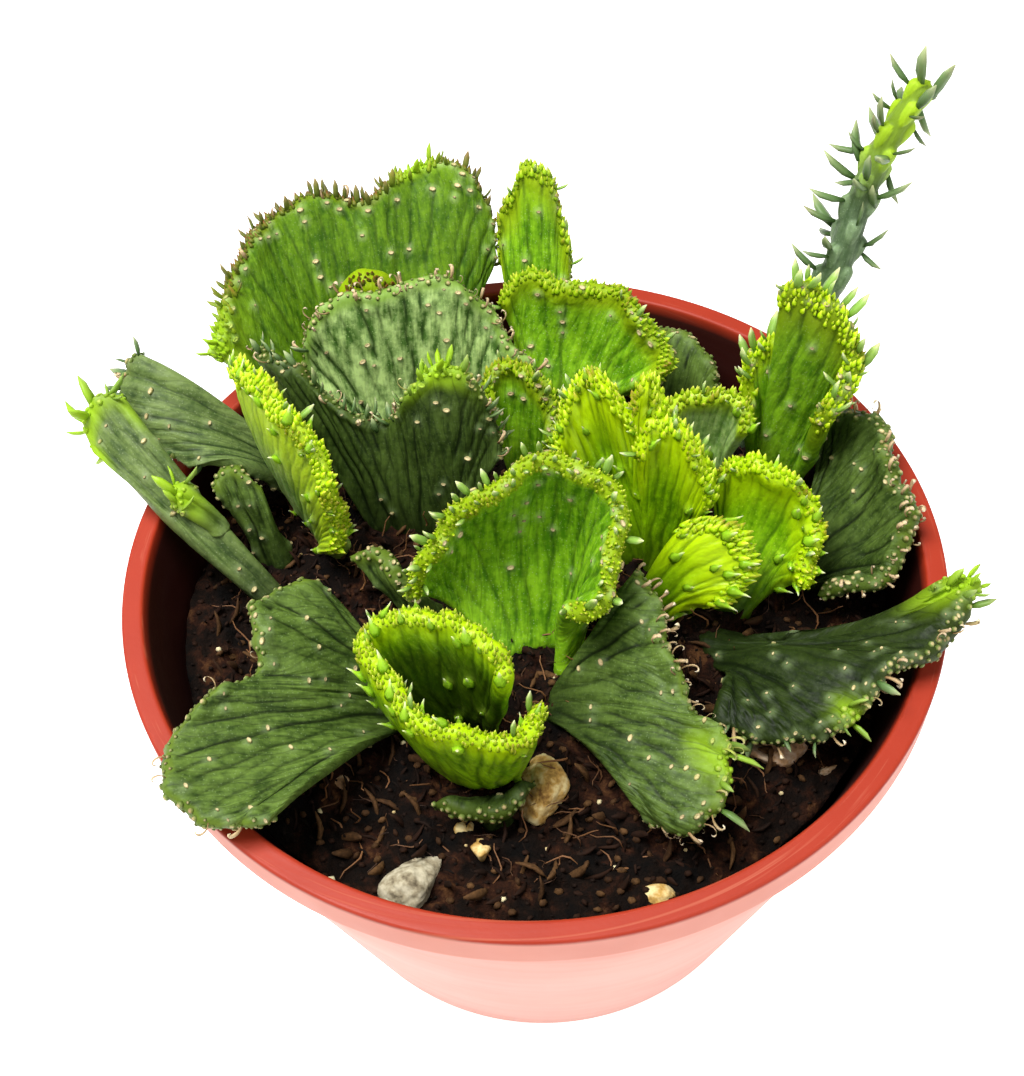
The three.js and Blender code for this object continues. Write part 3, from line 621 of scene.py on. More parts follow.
# Peat: dark brown, nearly black where damp, dull, with paler and redder crumbs in it.
peat, tree, shader = new_material("damp_peat")
place = add_node(tree, "ShaderNodeTexCoord").outputs["Object"]
coarse = add_node(
    tree, "ShaderNodeTexNoise", {"Vector": place, "Scale": 1 / (7 * MM), "Detail": 4.0, "Roughness": 0.72}
)
tone = add_node(tree, "ShaderNodeValToRGB", {"Fac": coarse.outputs["Fac"]})
for at_share, code in ((0.36, "#040201"), (0.5, "#130904"), (0.6, "#2c160b"), (0.74, "#5c3c22")):
    step = tone.color_ramp.elements.new(at_share)
    step.color = linear(code)
tone.color_ramp.elements.remove(tone.color_ramp.elements[0])
tone.color_ramp.elements.remove(tone.color_ramp.elements[-1])
grit = add_node(
    tree, "ShaderNodeTexNoise",
    {"Vector": place, "Scale": 1 / (0.9 * MM), "Detail": 3.0, "Roughness": 0.7},
)
bump = add_node(
    tree, "ShaderNodeBump", {"Height": grit.outputs["Fac"], "Strength": 0.9, "Distance": 0.7 * MM}
)
feed(shader, {"Base Color": tone.outputs["Color"], "Normal": bump.outputs[0]})
feed(shader, {"Roughness": 0.85, "Specular IOR Level": 0.12})
soil.data.materials.append(peat)

# Crumbs and slivers are bits of bark and peat, fibres are dry coir, specks are broken
# perlite. Each has its colours, which tint picks between, its roughness and, as bark
# does, a dull dark grain.
LITTER = {
    "bark_crumb": (((0, "#0c0603"), (0.72, "#341c0e"), (1, "#7c5834")), 0.8, "#140c07"),
    "coir_fibre": (((0, "#241006"), (1, "#8a5c34")), 0.65, None),
    "perlite_speck": (((0, "#b59a63"), (1, "#efe3b4")), 0.9, None),
}
litter_materials = []
for name, (codes, roughness, grain_code) in LITTER.items():
    material, tree, shader = new_material(name)
    tint = add_node(tree, "ShaderNodeAttribute", attribute_name="tint")
    tone = add_node(tree, "ShaderNodeValToRGB", {"Fac": tint.outputs["Fac"]})
    tone.color_ramp.elements[0].color = linear(codes[0][1])
    tone.color_ramp.elements[1].color = linear(codes[-1][1])
    for at_share, code in codes[1:-1]:
        tone.color_ramp.elements.new(at_share).color = linear(code)
    colour = tone.outputs["Color"]
    if grain_code:
        place = add_node(tree, "ShaderNodeTexCoord").outputs["Object"]
        grain = add_node(
            tree, "ShaderNodeTexNoise", {"Vector": place, "Scale": 1 / (0.6 * MM), "Detail": 3.0}
        )
        grained = add_node(
            tree, "ShaderNodeMix", {"Factor": grain.outputs["Fac"], 6: colour, 7: linear(grain_code)},
            data_type="RGBA",
        )
        colour = grained.outputs[2]
        feed(shader, {"Specular IOR Level": 0.15})
    feed(shader, {"Base Color": colour, "Roughness": roughness})
    litter_materials.append(material)
bark, coir, perlite = litter_materials

# A crumb and a speck are knocked-about balls of 20 faces, a fibre and a sliver thin tubes.
rng = np.random.default_rng(8)
golden = (1 + 5**0.5) / 2
corners = [(0, a, b * golden) for a in (-1, 1) for b in (-1, 1)]
corners += [(x, y, 0) for y in (-golden, golden) for x in (-1, 1)]
corners += [(b * golden, 0, a) for a in (-1, 1) for b in (-1, 1)]
corners = np.array(corners, float)
near = np.linalg.norm(corners[:, None] - corners[None], axis=2)
faces = [
    (i, j, k)
    for i in range(12)
    for j in range(i + 1, 12)
    for k in range(j + 1, 12)
    if near[i, j] < 2.1 and near[j, k] < 2.1 and near[i, k] < 2.1
]
faces = [face if np.linalg.det(corners[list(face)]) > 0 else face[::-1] for face in faces]
crumb_points = corners * (0.22 + 0.1 * rng.random((12, 1))) * (1.0, 0.7, 0.5)
crumb_shape = loose_shape("crumb", crumb_points * MM, faces)
speck_points = corners * (0.24 + 0.06 * rng.random((12, 1))) * (1.0, 0.85, 0.75)
speck_shape = loose_shape("speck", speck_points * MM, faces)
line = [(0.15 * math.sin(5 * s), s) for s in np.linspace(0, 1, 6)]
fibre_shape = tube_shape("fibre", line, (0.018, 0.026, 0.026, 0.022, 0.018, 0.008), 4)
line = [(0.06 * math.sin(4 * s), 0.75 * s) for s in np.linspace(-0.3, 1, 5)]
sliver_shape = tube_shape("sliver", line, (0.05, 0.13, 0.16, 0.12, 0.04), 5, 0.5)

litter = growth_tree("litter_on_soil", ("Crumb", "Fibre", "Speck", "Sliver"))
settings = {"Mound Radius": 1.2 * MM, "Mound Height": 0.3 * MM, "Seed": 3}
for kind, shape, material, spacing, size, spread in (
    ("Crumb", crumb_shape, bark, CRUMB_SPACING, CRUMB_SIZE, 1.5),
    ("Fibre", fibre_shape, coir, FIBRE_SPACING, FIBRE_SIZE, 4.0),
    ("Speck", speck_shape, perlite, SPECK_SPACING, SPECK_SIZE, 1.0),
    ("Sliver", sliver_shape, bark, SLIVER_SPACING, SLIVER_SIZE, 3.0),
):
    settings |= {kind + " Shape": shape, kind + " Material": material, kind + " Spread": spread}
    settings |= {kind + " Spacing": spacing * MM, kind + " Size": size}
grow_on(soil, litter, settings)
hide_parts("soil")
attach(soil, "root")


# Mineral chips: pieces of perlite and pumice mixed into the soil, broken to dull edges and
# pitted where gas bubbles were cut open. They lie half sunk where they were raked up.
CHIPS = (
    {"at": (0, -41), "size": (4.2, 5.4, 3.6), "stone": "cream"},
    {"at": (-24, -58), "size": (4.6, 4.4, 3.4), "stone": "grey"},
    {"at": (41, -36), "size": (5.5, 4.4, 3.4), "stone": "tan"},
    {"at": (17, -62), "size": (4, 2.4, 2), "stone": "cream"},
    {"at": (-15, -48), "size": (1.5, 1.8, 1.2), "stone": "cream"},
    {"at": (-12, -51), "size": (2, 1.7, 1.3), "stone": "cream"},
    {"at": (-36, -37), "size": (1.4, 1.9, 1.4), "stone": "tan"},
    {"at": (49, -41), "size": (2.1, 1.9, 1.5), "stone": "tan"},
)
CHIP_FACETS = 15
CHIP_EDGE_SHARPNESS = 9
CHIP_ABOVE_SOIL = 0.3
CHIP_PIT = 1.1
STONES = {
    "cream": ("#ecd79a", "#c49a4c", "#7c5626"),
    "grey": ("#c6bca0", "#988c70", "#564a36"),
    "tan": ("#e9cfae", "#c79a6c", "#7d5a3c"),
}

stones = {}
for stone, (light, middle, dark) in STONES.items():
    material, tree, shader = new_material("pumice_" + stone)
    place = add_node(tree, "ShaderNodeTexCoord").outputs["Object"]
    blotch = add_node(
        tree, "ShaderNodeTexNoise",
        {"Vector": place, "Scale": 1 / (2.6 * MM), "Detail": 3.0, "Roughness": 0.65},
    )
    tone = add_node(tree, "ShaderNodeValToRGB", {"Fac": blotch.outputs["Fac"]})
    tone.color_ramp.elements[0].color = linear(dark)
    tone.color_ramp.elements[0].position = 0.3
    tone.color_ramp.elements[1].color = linear(light)
    tone.color_ramp.elements[1].position = 0.62
    tone.color_ramp.elements.new(0.44).color = linear(middle)
    pits = add_node(tree, "ShaderNodeTexVoronoi", {"Vector": place, "Scale": 1 / (CHIP_PIT * MM)})
    bump = add_node(
        tree, "ShaderNodeBump",
        {"Height": pits.outputs["Distance"], "Strength": 0.5, "Distance": 0.3 * MM},
    )
    feed(shader, {"Base Color": tone.outputs["Color"], "Roughness": 0.88, "Normal": bump.outputs[0]})
    stones[stone] = material


def sphere_points(rings, sides):
    """Points and faces of a ball of radius 1."""
    points = [(0, 0, -1)]
    for ring in range(1, rings):
        tilt = math.pi * ring / rings
        for side in range(sides):
            turn = 2 * math.pi * (side + ring / 2) / sides
            points.append((math.sin(tilt) * math.cos(turn), math.sin(tilt) * math.sin(turn), -math.cos(tilt)))
    points.append((0, 0, 1))
    at = lambda ring, side: 1 + (ring - 1) * sides + side % sides
    faces = []
    for side in range(sides):
        faces.append((0, at(1, side + 1), at(1, side)))
        for ring in range(1, rings - 1):
            faces.append((at(ring, side), at(ring, side + 1), at(ring + 1, side + 1), at(ring + 1, side)))
        faces.append((at(rings - 1, side), at(rings - 1, side + 1), len(points) - 1))
    return np.array(points), faces


for number, chip in enumerate(CHIPS):
    rng = np.random.default_rng(60 + number)
    is_large = max(chip["size"]) > 3
    ball, faces = sphere_points(*((34, 48) if is_large else (14, 20)))
    ways = rng.normal(size=(CHIP_FACETS, 3))
    ways /= np.linalg.norm(ways, axis=1, keepdims=True)
    reach = rng.uniform(0.78, 1.0, CHIP_FACETS)
    facing = np.maximum(ball @ ways.T, 0.05)
    blunted = ((reach / facing) ** -CHIP_EDGE_SHARPNESS).sum(axis=1)[:, None]
    shape = ball * blunted ** (-1 / CHIP_EDGE_SHARPNESS)
    shape *= 1 + 0.05 * lumps(ball[:, 0] + 5, ball[:, 1] + 3 * ball[:, 2], 0.3, 70 + number)[:, None]
    shape *= 1 + 0.025 * lumps(ball[:, 0] * 2 + 9, ball[:, 2] + ball[:, 1], 0.12, 80 + number)[:, None]
    x, y = chip["at"]
    centre = np.array([x, y, soil_top(x, y) + CHIP_ABOVE_SOIL * chip["size"][2]])
    pebble = mesh_object("pumice_chip_" + str(number + 1), (shape * chip["size"] + centre) * MM, faces)
    pebble.data.materials.append(stones[chip["stone"]])
    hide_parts("mineral_chip_" + str(number + 1))
    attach(pebble, "root")


# Skin of a crest: fleshy stem grown wide instead of long, so that it is a fan with a foot
# in the soil and a growing margin all along its rim. Furrows run up both faces and fork
# wherever a rib between two of them gets too wide.
FOOT_ABOVE_SOIL = 1.5
FOOT_THICKNESS = 5.6
LEAF_THICKNESS = 3.4
MARGIN_THICKNESS = 3.7
RIM_THICKNESS = 3.0
LEAST_THICKNESS = 1.0
RIM_ROUNDING = 1.7
MARGIN_WIDTH = 5
ROOT_SHOWN = 4
COLUMN_SPACING = 0.5
ROW_SPACING = 0.85
RIM_ROWS = 12
RIM_NOTCHES = ((2.6, 0.8, 3.7), (7.0, 0.7, 1.3))
WAVE_SWING = 0.7
WAVE_LENGTH = 17.0
FURROW_WIDTH = 0.5
DIP_WIDTH = 1.5
DIP_DEPTH = 0.27
SKIN_GRAIN = 0.05

# What a crest usually has. In millimetres: how far apart its furrows are and how deep, and how wide its
# bright margin and the band of tubercles are. In shares: its thickness, what it bears, and its painted shade:
# darker as a whole (partly a darker skin), low down by the soil, and deep inside on each face. Where it is
# young is told as places along the rim with spread, reach down the face and strength.
USUAL = {
    "thick": 1.0,
    "rib": 2.9,
    "groove": 0.25,
    "bright": 4.0,
    "band": 2.0,
    "scars": 1.0,
    "leaflets": 0.5,
    "remnants": 0.0,
    "dark": 0.0,
    "low": 0.7,
    "hollow": (0, 0),
    "young": (),
}


def along(points, shares):
    """Places at shares of the length of the smooth curve through a few points."""
    points = np.asarray(points, float)
    if len(points) == 2:
        return points[0] + np.outer(shares, points[1] - points[0])
    ends = (2 * points[0] - points[1], 2 * points[-1] - points[-2])
    through = np.vstack([ends[0], points, ends[1]])
    t = np.linspace(0, 1, 40, endpoint=False)[:, None]
    run = []
    for a, b, c, d in zip(through, through[1:], through[2:], through[3:]):
        ab, bc, cd = (np.linalg.norm(q - p) ** 0.5 for p, q in ((a, b), (b, c), (c, d)))
        start = bc * ((b - a) / ab - (c - a) / (ab + bc) + (c - b) / bc)
        end = bc * ((c - b) / bc - (d - b) / (bc + cd) + (d - c) / cd)
        cubic = 2 * b - 2 * c + start + end
        run.append(b + start * t + (3 * c - 3 * b - 2 * start - end) * t**2 + cubic * t**3)
    run = np.vstack([*run, points[-1:]])
    length = np.concatenate([[0], np.cumsum(np.linalg.norm(np.diff(run, axis=0), axis=1))])
    return np.stack([np.interp(shares * length[-1], length, run[:, k]) for k in range(3)], axis=1)


def unit(vectors):
    """The same directions at length 1."""
    return vectors / np.maximum(np.linalg.norm(vectors, axis=-1, keepdims=True), 1e-9)


def run_length(points, axis):
    """Length run along a grid of points from its first row or column."""
    steps = np.linalg.norm(np.diff(points, axis=axis), axis=2)
    start = np.zeros_like(np.take(points[..., 0], [0], axis=axis))
    return np.concatenate([start, np.cumsum(steps, axis=axis)], axis=axis)


def blurred(values, rounds):
    """A grid of values smoothed a few times, with its borders kept."""
    for _ in range(rounds):
        padded = np.pad(values, 1, mode="edge")
        near = padded[:-2, 1:-1] + padded[2:, 1:-1] + padded[1:-1, :-2] + padded[1:-1, 2:]
        values = (2 * values + near) / 6
    return values


def furrows(widths, rows, rng, spacing):
    """Where furrows run: their place along the rim and the height where each begins."""
    first = max(2, round(widths[0] / spacing))
    edges = [0.0, *(np.arange(1, first) + rng.uniform(-0.2, 0.2, first - 1)) / first, 1.0]
    found = [(edge, -1.0) for edge in edges[1:-1]]
    waiting = [(a, b, 0) for a, b in zip(edges, edges[1:])]
    while waiting:
        left, right, start = waiting.pop()
        limit = spacing * rng.uniform(1.25, 1.75)
        wide = np.nonzero((right - left) * widths[start:] > limit)[0]
        if len(wide):
            begin = start + int(wide[0])
            middle = left + (right - left) * rng.uniform(0.4, 0.6)
            found.append((middle, rows[begin]))
            waiting += [(left, middle, begin), (middle, right, begin)]
    return found


def fan_sheet(spec, seed, rng):
    """The middle surface of a fan in rows from foot to rim: where each column stands along
    the rim, where each row stands up the fan, the points and which way each faces."""
    is_shoot = len(spec["foot"][0]) == 3
    foot = [(x, y, *(z or [float(soil_top(x, y)) + FOOT_ABOVE_SOIL])) for x, y, *z in spec["foot"]]
    rim_length = np.linalg.norm(np.diff(np.array(spec["rim"], float), axis=0), axis=1).sum()
    columns = int(np.clip(rim_length / COLUMN_SPACING, 28, 230))
    t = np.linspace(0, 1, columns)
    u = t - 0.7 / (2 * np.pi) * np.sin(2 * np.pi * t)
    base, edge = along(foot, u), along(spec["rim"], u)
    tallest = np.linalg.norm(edge - base, axis=1).mean()
    leaf_rows = int(np.clip(tallest / ROW_SPACING, 12, 60))
    rows = np.concatenate(
        [
            np.linspace(-0.5, 0, 4, endpoint=False),
            np.linspace(0, 1.2, leaf_rows, endpoint=False),
            1.2 + 0.8 * np.sin(np.linspace(0, np.pi / 2, RIM_ROWS)),
        ]
    )
    w = rows[:, None]

    # Foot and rim are joined by straight lines, then pushed out by the bow. The rim is ragged.
    ragged = 0
    for number, (size, depth, shift) in enumerate(RIM_NOTCHES):
        ragged = ragged + depth * lumps(u * rim_length, np.full(columns, seed * shift), size, 5 + number)
    edge = edge + unit(edge - base) * ragged[:, None]
    margin = np.minimum(MARGIN_WIDTH / np.linalg.norm(edge - base, axis=1), 0.45)
    above = np.maximum(np.where(w < 1, w * (1 - margin), 1 - margin * (2 - w)), 0)[..., None]
    last = np.array(spec["bow"], float)
    first = np.array(spec.get("first_bow", last), float)
    bow = first + smooth_step(0, 0.6, u)[:, None] * (last - first)
    middle = base + above * (edge - base) + 4 * above * (1 - above) * bow
    middle[..., 2] += np.minimum(w, 0) * (2 if is_shoot else 2 * ROOT_SHOWN)

    # Near the foot a fan faces square to the line it stands on, higher up square to itself.
    upward = unit(np.gradient(middle, axis=0))
    sheet = unit(np.cross(np.gradient(middle, axis=1), upward))
    foot_normal = unit(np.cross(unit(np.gradient(base, axis=0)), (0.0, 0.0, 1.0)))
    side = np.sign((foot_normal * sheet[len(rows) // 2]).sum(axis=1).mean()) or 1.0
    blend = smooth_step(0, 0.6, w)[..., None]
    facing = unit(side * foot_normal * (1 - blend) + sheet * blend)

    # The outer half swings from side to side in waves.
    phase = rng.uniform(0, 6)
    across = run_length(middle, 1)
    wave = WAVE_SWING * np.sin(u * rim_length * 2 * np.pi / WAVE_LENGTH + phase) * smooth_step(0.3, 1.6, w)
    wave = wave + 0.5 * lumps(across + 40, w * 12 + seed * 7.1 + 0 * across, 9.0, 7)
    return u, rows, middle + facing * wave[..., None], facing


def fan_thickness(spec, rows, middle, facing, across, from_rim):
    """Half the thickness of a fan, and how much of it is left towards its rim and its ends."""
    is_slim = len(spec["foot"][0]) == 3 or len(spec["foot"]) > 2
    foot_thickness = LEAF_THICKNESS if is_slim else FOOT_THICKNESS
    stations = (-0.5, 0, 0.5, 1, 1.45, 2)
    girths = (foot_thickness, foot_thickness, LEAF_THICKNESS, LEAF_THICKNESS, MARGIN_THICKNESS, RIM_THICKNESS)
    half = np.interp(rows, stations, girths)[:, None] / 2 * spec["thick"] + 0 * across

    # Where the fan bends tightly it is held back, so that its faces don't cross.
    for axis in (0, 1):
        step = np.linalg.norm(np.gradient(middle, axis=axis), axis=2)
        turn = np.linalg.norm(np.gradient(facing, axis=axis), axis=2)
        half = np.minimum(half, 0.8 * blurred(step / np.maximum(turn, 1e-4), 3))
    half = blurred(np.maximum(half, LEAST_THICKNESS / 2), 3)
    from_ends = np.minimum(across, across[:, -1:] - across)
    close = 1.0
    for reach in (from_ends, from_rim):
        close = close * np.sqrt(np.clip(1 - (1 - np.minimum(reach / RIM_ROUNDING, 1)) ** 2, 0, 1))
    return half, close


def fan_faces(middle, facing, upward):
    """Faces of both sides of a fan and of its foot, all outwards. The sides share the points
    of the rim and of both ends."""
    count, width = middle.shape[:2]
    index = np.arange(count * width).reshape(count, width)
    back = index + count * width
    back[:, 0], back[:, -1], back[-1] = index[:, 0], index[:, -1], index[-1]
    is_front_out = (np.cross(np.gradient(middle, axis=1), upward) * facing).sum() > 0
    faces = []
    for grid, is_forward in ((index, is_front_out), (back, not is_front_out)):
        quads = np.stack([grid[:-1, :-1], grid[:-1, 1:], grid[1:, 1:], grid[1:, :-1]], axis=-1).reshape(-1, 4)
        faces += (quads if is_forward else quads[:, ::-1]).tolist()
    for column in range(width - 1):
        ring = [index[0, column], back[0, column], back[0, column + 1], index[0, column + 1]]
        ring = list(dict.fromkeys(int(i) for i in ring))
        faces.append(ring if is_front_out else ring[::-1])
    return faces


def crest_skin(spec, seed):
    """Points, faces and surface attributes of one crest, in millimetres."""
    spec = USUAL | spec
    rng = np.random.default_rng(seed)
    u, rows, middle, facing = fan_sheet(spec, seed, rng)
    w = rows[:, None]
    across = run_length(middle, 1)
    climb = run_length(middle, 0)
    from_rim = climb[-1] - climb
    upward = unit(np.gradient(middle, axis=0))
    half, close = fan_thickness(spec, rows, middle, facing, across, from_rim)

    # Each face has furrows of its own, crisp lines at the bottom of wide soft dips.
    widths = across[:, -1]
    fade = smooth_step(-0.2, 0.2, w) * smooth_step(0.3, 3.5, from_rim)
    sides, creases, ridges = [], [], []
    for number, way in ((0, 1), (1, -1)):
        depth = np.zeros_like(across)
        dip = np.zeros_like(across)
        for place, begin in furrows(widths, rows, rng, spec["rib"]):
            sway = 0.3 * np.sin(climb * rng.uniform(0.4, 0.8) + rng.uniform(0, 6))
            off = (u - place) * widths[:, None] + sway
            strength = rng.uniform(0.5, 1.0) * smooth_step(begin, begin + 0.15, w)
            depth = np.maximum(depth, strength * np.exp(-((off / FURROW_WIDTH) ** 2)))
            dip = np.maximum(dip, strength * np.exp(-((off / DIP_WIDTH) ** 2)))
        fine = SKIN_GRAIN * lumps(across + 60 + 30 * number, climb, 0.9, 9 + seed)
        relief = (fine - fade * (spec["groove"] * depth + DIP_DEPTH * dip)) * close
        sides.append((middle + way * facing * (half * close + relief)[..., None]).reshape(-1, 3))
        creases.append((depth * fade).ravel())
        ridges.append((1 - dip * fade).ravel())

    # What the skin and the things that grow on it read, face by face.
    twice = lambda values: np.concatenate([np.broadcast_to(values, across.shape).ravel()] * 2)
    patchy = lumps(across + 11, climb + 23 + seed, 5.0, 12)
    height = middle[..., 2] - soil_top(middle[..., 0], middle[..., 1])
    # Painted shade: darker low down by the soil (low), as a whole (dark, partly a darker skin) and deep
    # inside each face (hollow).
    lit = (1 - spec["low"] * (1 - smooth_step(1, 14, height))) * (1 - spec["dark"])
    in_hollow = smooth_step(1.5, 9, from_rim)
    near_rim = 1 - smooth_step(1.5, 5, from_rim)
    young = 0 * across
    for place, spread, reach, strength in spec["young"]:
        near = strength * np.exp(-(((u - place) / spread) ** 2))
        young = np.maximum(young, near * (1 - smooth_step(0.4 * reach, 1.3 * reach, from_rim + patchy)))
    attributes = {
        "young": twice(young),
        "margin": twice(1 - smooth_step(0.25, 1.3, (from_rim + 1.2 * patchy) / spec["bright"])),
        "furrow": np.concatenate(creases),
        "ridge": np.concatenate(ridges),
        "shade": np.concatenate([(1 - lit * (1 - deep * in_hollow)).ravel() for deep in spec["hollow"]]),
        "scar": twice(smooth_step(2, 5, height) * (0.1 + 0.34 * near_rim)) * spec["scars"],
        "tubercle": twice(1 - smooth_step(0.6, 1.1, (from_rim + 0.4 * patchy) / (spec["band"] + 2 * young))),
        "leaflet": twice(
            (1 - smooth_step(0.8, 2.2 + 1.5 * young, from_rim)) * np.maximum(spec["leaflets"], young)
        ),
        "remnant": twice((1 - smooth_step(0.5, 2.5, from_rim)) * (1 - young)) * spec["remnants"],
    }
    grain = np.stack([across - across[:, -1:] / 2, climb, 0 * across], axis=-1)
    grain = np.concatenate([grain, grain + (0, 0, 50)]).reshape(-1, 3)
    ways = {"grain": grain, "flow": np.concatenate([upward, upward]).reshape(-1, 3)}
    return np.concatenate(sides), fan_faces(middle, facing, upward), attributes, ways


def crest_mesh(name, specs, seed):
    """One object for a crest and the shoots that grew on it."""
    made = [crest_skin(spec, seed + 31 * number) for number, spec in enumerate(specs)]
    faces = []
    start = 0
    for points, own_faces, *_ in made:
        faces += [[i + start for i in face] for face in own_faces]
        start += len(points)
    crest = mesh_object(name, np.concatenate([points for points, *_ in made]) * MM, faces)
    values, ways = (
        {label: np.concatenate([skin[kind][label] for skin in made]) for label in made[0][kind]}
        for kind in (2, 3)
    )
    store(crest, values, ways)
    return crest


# Waxy skin: green flesh under wax, paler on the ribs, dark in the furrows, with painted shade deep between
# the crests and low by the soil, netted with fine veins, and lime or yellow where it is young.
DEEP_SHADE = linear("#0c1704")
YOUNG_LIME = linear("#9cc41c")


def skin_material(name, colours, glow, vein_ink, stripe):
    """Waxy succulent skin that reads where it is furrowed, scarred, shaded or young."""
    material, tree, shader = new_material(name)
    dark, light, furrow, bloom, margin = (linear(code) for code in colours)
    read = {
        label: add_node(tree, "ShaderNodeAttribute", attribute_name=label).outputs
        for label in ("grain", "furrow", "ridge", "bloom", "margin", "shade", "young")
    }
    place = add_node(tree, "ShaderNodeTexCoord").outputs["Object"]
    along_growth = read["grain"]["Vector"]

    # The flat: clouds of 8 mm, streaks along the growth and mottles of 1.3 mm, then the
    # stripes of the ribs.
    cloud = add_node(
        tree, "ShaderNodeTexNoise",
        {"Vector": place, "Scale": 1 / (8 * MM), "Detail": 3.0, "Roughness": 0.6},
    )
    stretch = add_node(
        tree, "ShaderNodeVectorMath", {0: along_growth, 1: (0.8, 0.12, 1.0)}, operation="MULTIPLY"
    )
    streak = add_node(
        tree, "ShaderNodeTexNoise",
        {"Vector": stretch.outputs[0], "Scale": 1.0, "Detail": 2.0, "Roughness": 0.6},
    )
    mottle = add_node(
        tree, "ShaderNodeTexNoise",
        {"Vector": place, "Scale": 1 / (1.3 * MM), "Detail": 2.0, "Roughness": 0.7},
    )
    tone = add_node(tree, "ShaderNodeMath", {0: cloud.outputs["Fac"], 1: streak.outputs["Fac"]})
    tone = add_node(
        tree, "ShaderNodeMath", {0: mottle.outputs["Fac"], 1: 0.8, 2: tone.outputs[0]},
        operation="MULTIPLY_ADD",
    )
    tone = add_node(
        tree, "ShaderNodeMapRange", {"Value": tone.outputs[0], "From Min": 1.12, "From Max": 1.68}
    )
    rib = add_node(
        tree, "ShaderNodeMapRange",
        {"Value": read["ridge"]["Fac"], "From Min": 0.1, "To Min": -stripe, "To Max": stripe},
    )
    tone = add_node(tree, "ShaderNodeMath", {0: tone.outputs[0], 1: rib.outputs[0]}, use_clamp=True)
    flat = add_node(tree, "ShaderNodeMix", {"Factor": tone.outputs[0], 6: dark, 7: light}, data_type="RGBA")

    # Pale breathing pores, and a net of veins stretched along the growth.
    specks = add_node(tree, "ShaderNodeTexVoronoi", {"Vector": place, "Scale": 1 / (0.62 * MM)})
    speck = add_node(
        tree, "ShaderNodeMapRange",
        {"Value": specks.outputs["Distance"], "From Min": 0.26, "From Max": 0.1},
    )
    crease = add_node(
        tree, "ShaderNodeMapRange", {"Value": read["furrow"]["Fac"], "From Min": 0.3, "From Max": 0.85}
    )
    warp = add_node(tree, "ShaderNodeTexNoise", {"Vector": along_growth, "Scale": 0.16, "Detail": 0.0})
    warp = add_node(
        tree, "ShaderNodeVectorMath", {0: warp.outputs["Color"], 1: (0.5, 0.5, 0.5)}, operation="SUBTRACT"
    )
    warp = add_node(tree, "ShaderNodeVectorMath", {0: warp.outputs[0], "Scale": 2.4}, operation="SCALE")
    warped = add_node(tree, "ShaderNodeVectorMath", {0: along_growth, 1: warp.outputs[0]})
    net = add_node(
        tree, "ShaderNodeVectorMath", {0: warped.outputs[0], 1: (0.27, 0.032, 1.0)}, operation="MULTIPLY"
    )
    vein = add_node(
        tree, "ShaderNodeTexVoronoi", {"Vector": net.outputs[0], "Scale": 1.0},
        feature="DISTANCE_TO_EDGE", voronoi_dimensions="2D",
    )
    line = add_node(
        tree, "ShaderNodeMapRange",
        {"Value": vein.outputs["Distance"], "From Min": 0.06, "From Max": 0.005},
        interpolation_type="SMOOTHSTEP",
    )
    off_rim = add_node(tree, "ShaderNodeMath", {0: 1.0, 1: read["margin"]["Fac"]}, operation="SUBTRACT")
    line = add_node(tree, "ShaderNodeMath", {0: line.outputs[0], 1: off_rim.outputs[0]}, operation="MULTIPLY")
    colour = flat.outputs[2]
    for factor, paint, strength in (
        (speck.outputs[0], bloom, 0.4),
        (read["margin"]["Fac"], margin, 0.9),
        (crease.outputs[0], furrow, 0.55 if glow > 0.1 else 0.88),
        (read["shade"]["Fac"], DEEP_SHADE, 0.9),
        (read["young"]["Fac"], YOUNG_LIME, 0.95),
        (read["bloom"]["Fac"], bloom, 0.55),
        (line.outputs[0], furrow, vein_ink),
    ):
        share = add_node(tree, "ShaderNodeMath", {0: factor, 1: strength}, operation="MULTIPLY")
        mixed = add_node(
            tree, "ShaderNodeMix", {"Factor": share.outputs[0], 6: colour, 7: paint}, data_type="RGBA"
        )
        colour = mixed.outputs[2]

    # Skin puffed up between its veins, in small cells, with a fine grain.
    puff = add_node(
        tree, "ShaderNodeMapRange",
        {"Value": vein.outputs["Distance"], "From Min": 0.0, "From Max": 0.22},
        interpolation_type="SMOOTHSTEP",
    )
    cells = add_node(
        tree, "ShaderNodeVectorMath", {0: along_growth, 1: (1.4, 0.8, 1.0)}, operation="MULTIPLY"
    )
    cell = add_node(
        tree, "ShaderNodeTexVoronoi", {"Vector": cells.outputs[0], "Scale": 1.0}, voronoi_dimensions="2D"
    )
    fine = add_node(tree, "ShaderNodeTexNoise", {"Vector": place, "Scale": 1 / (0.5 * MM), "Detail": 1.0})
    under = {}
    for height, strength, depth in (
        (puff.outputs[0], 0.1 + 0.6 * vein_ink, 0.4),
        (cell.outputs["Distance"], 0.3, -0.2),
        (fine.outputs["Fac"], 0.25, 0.12),
    ):
        bump = add_node(
            tree, "ShaderNodeBump",
            {"Height": height, "Strength": strength, "Distance": depth * MM} | under,
        )
        under = {"Normal": bump.outputs[0]}
    is_young = glow > 0.15
    feed(
        shader,
        {
            "Base Color": colour,
            "Normal": bump.outputs[0],
            "Roughness": 0.36 if is_young else 0.5,
            "Specular IOR Level": 0.26 if is_young else 0.15,
            "Subsurface Weight": glow,
            "Subsurface Radius": (0.8, 1.0, 0.15),
            "Subsurface Scale": 1.6 * MM,
        },
    )
    return material


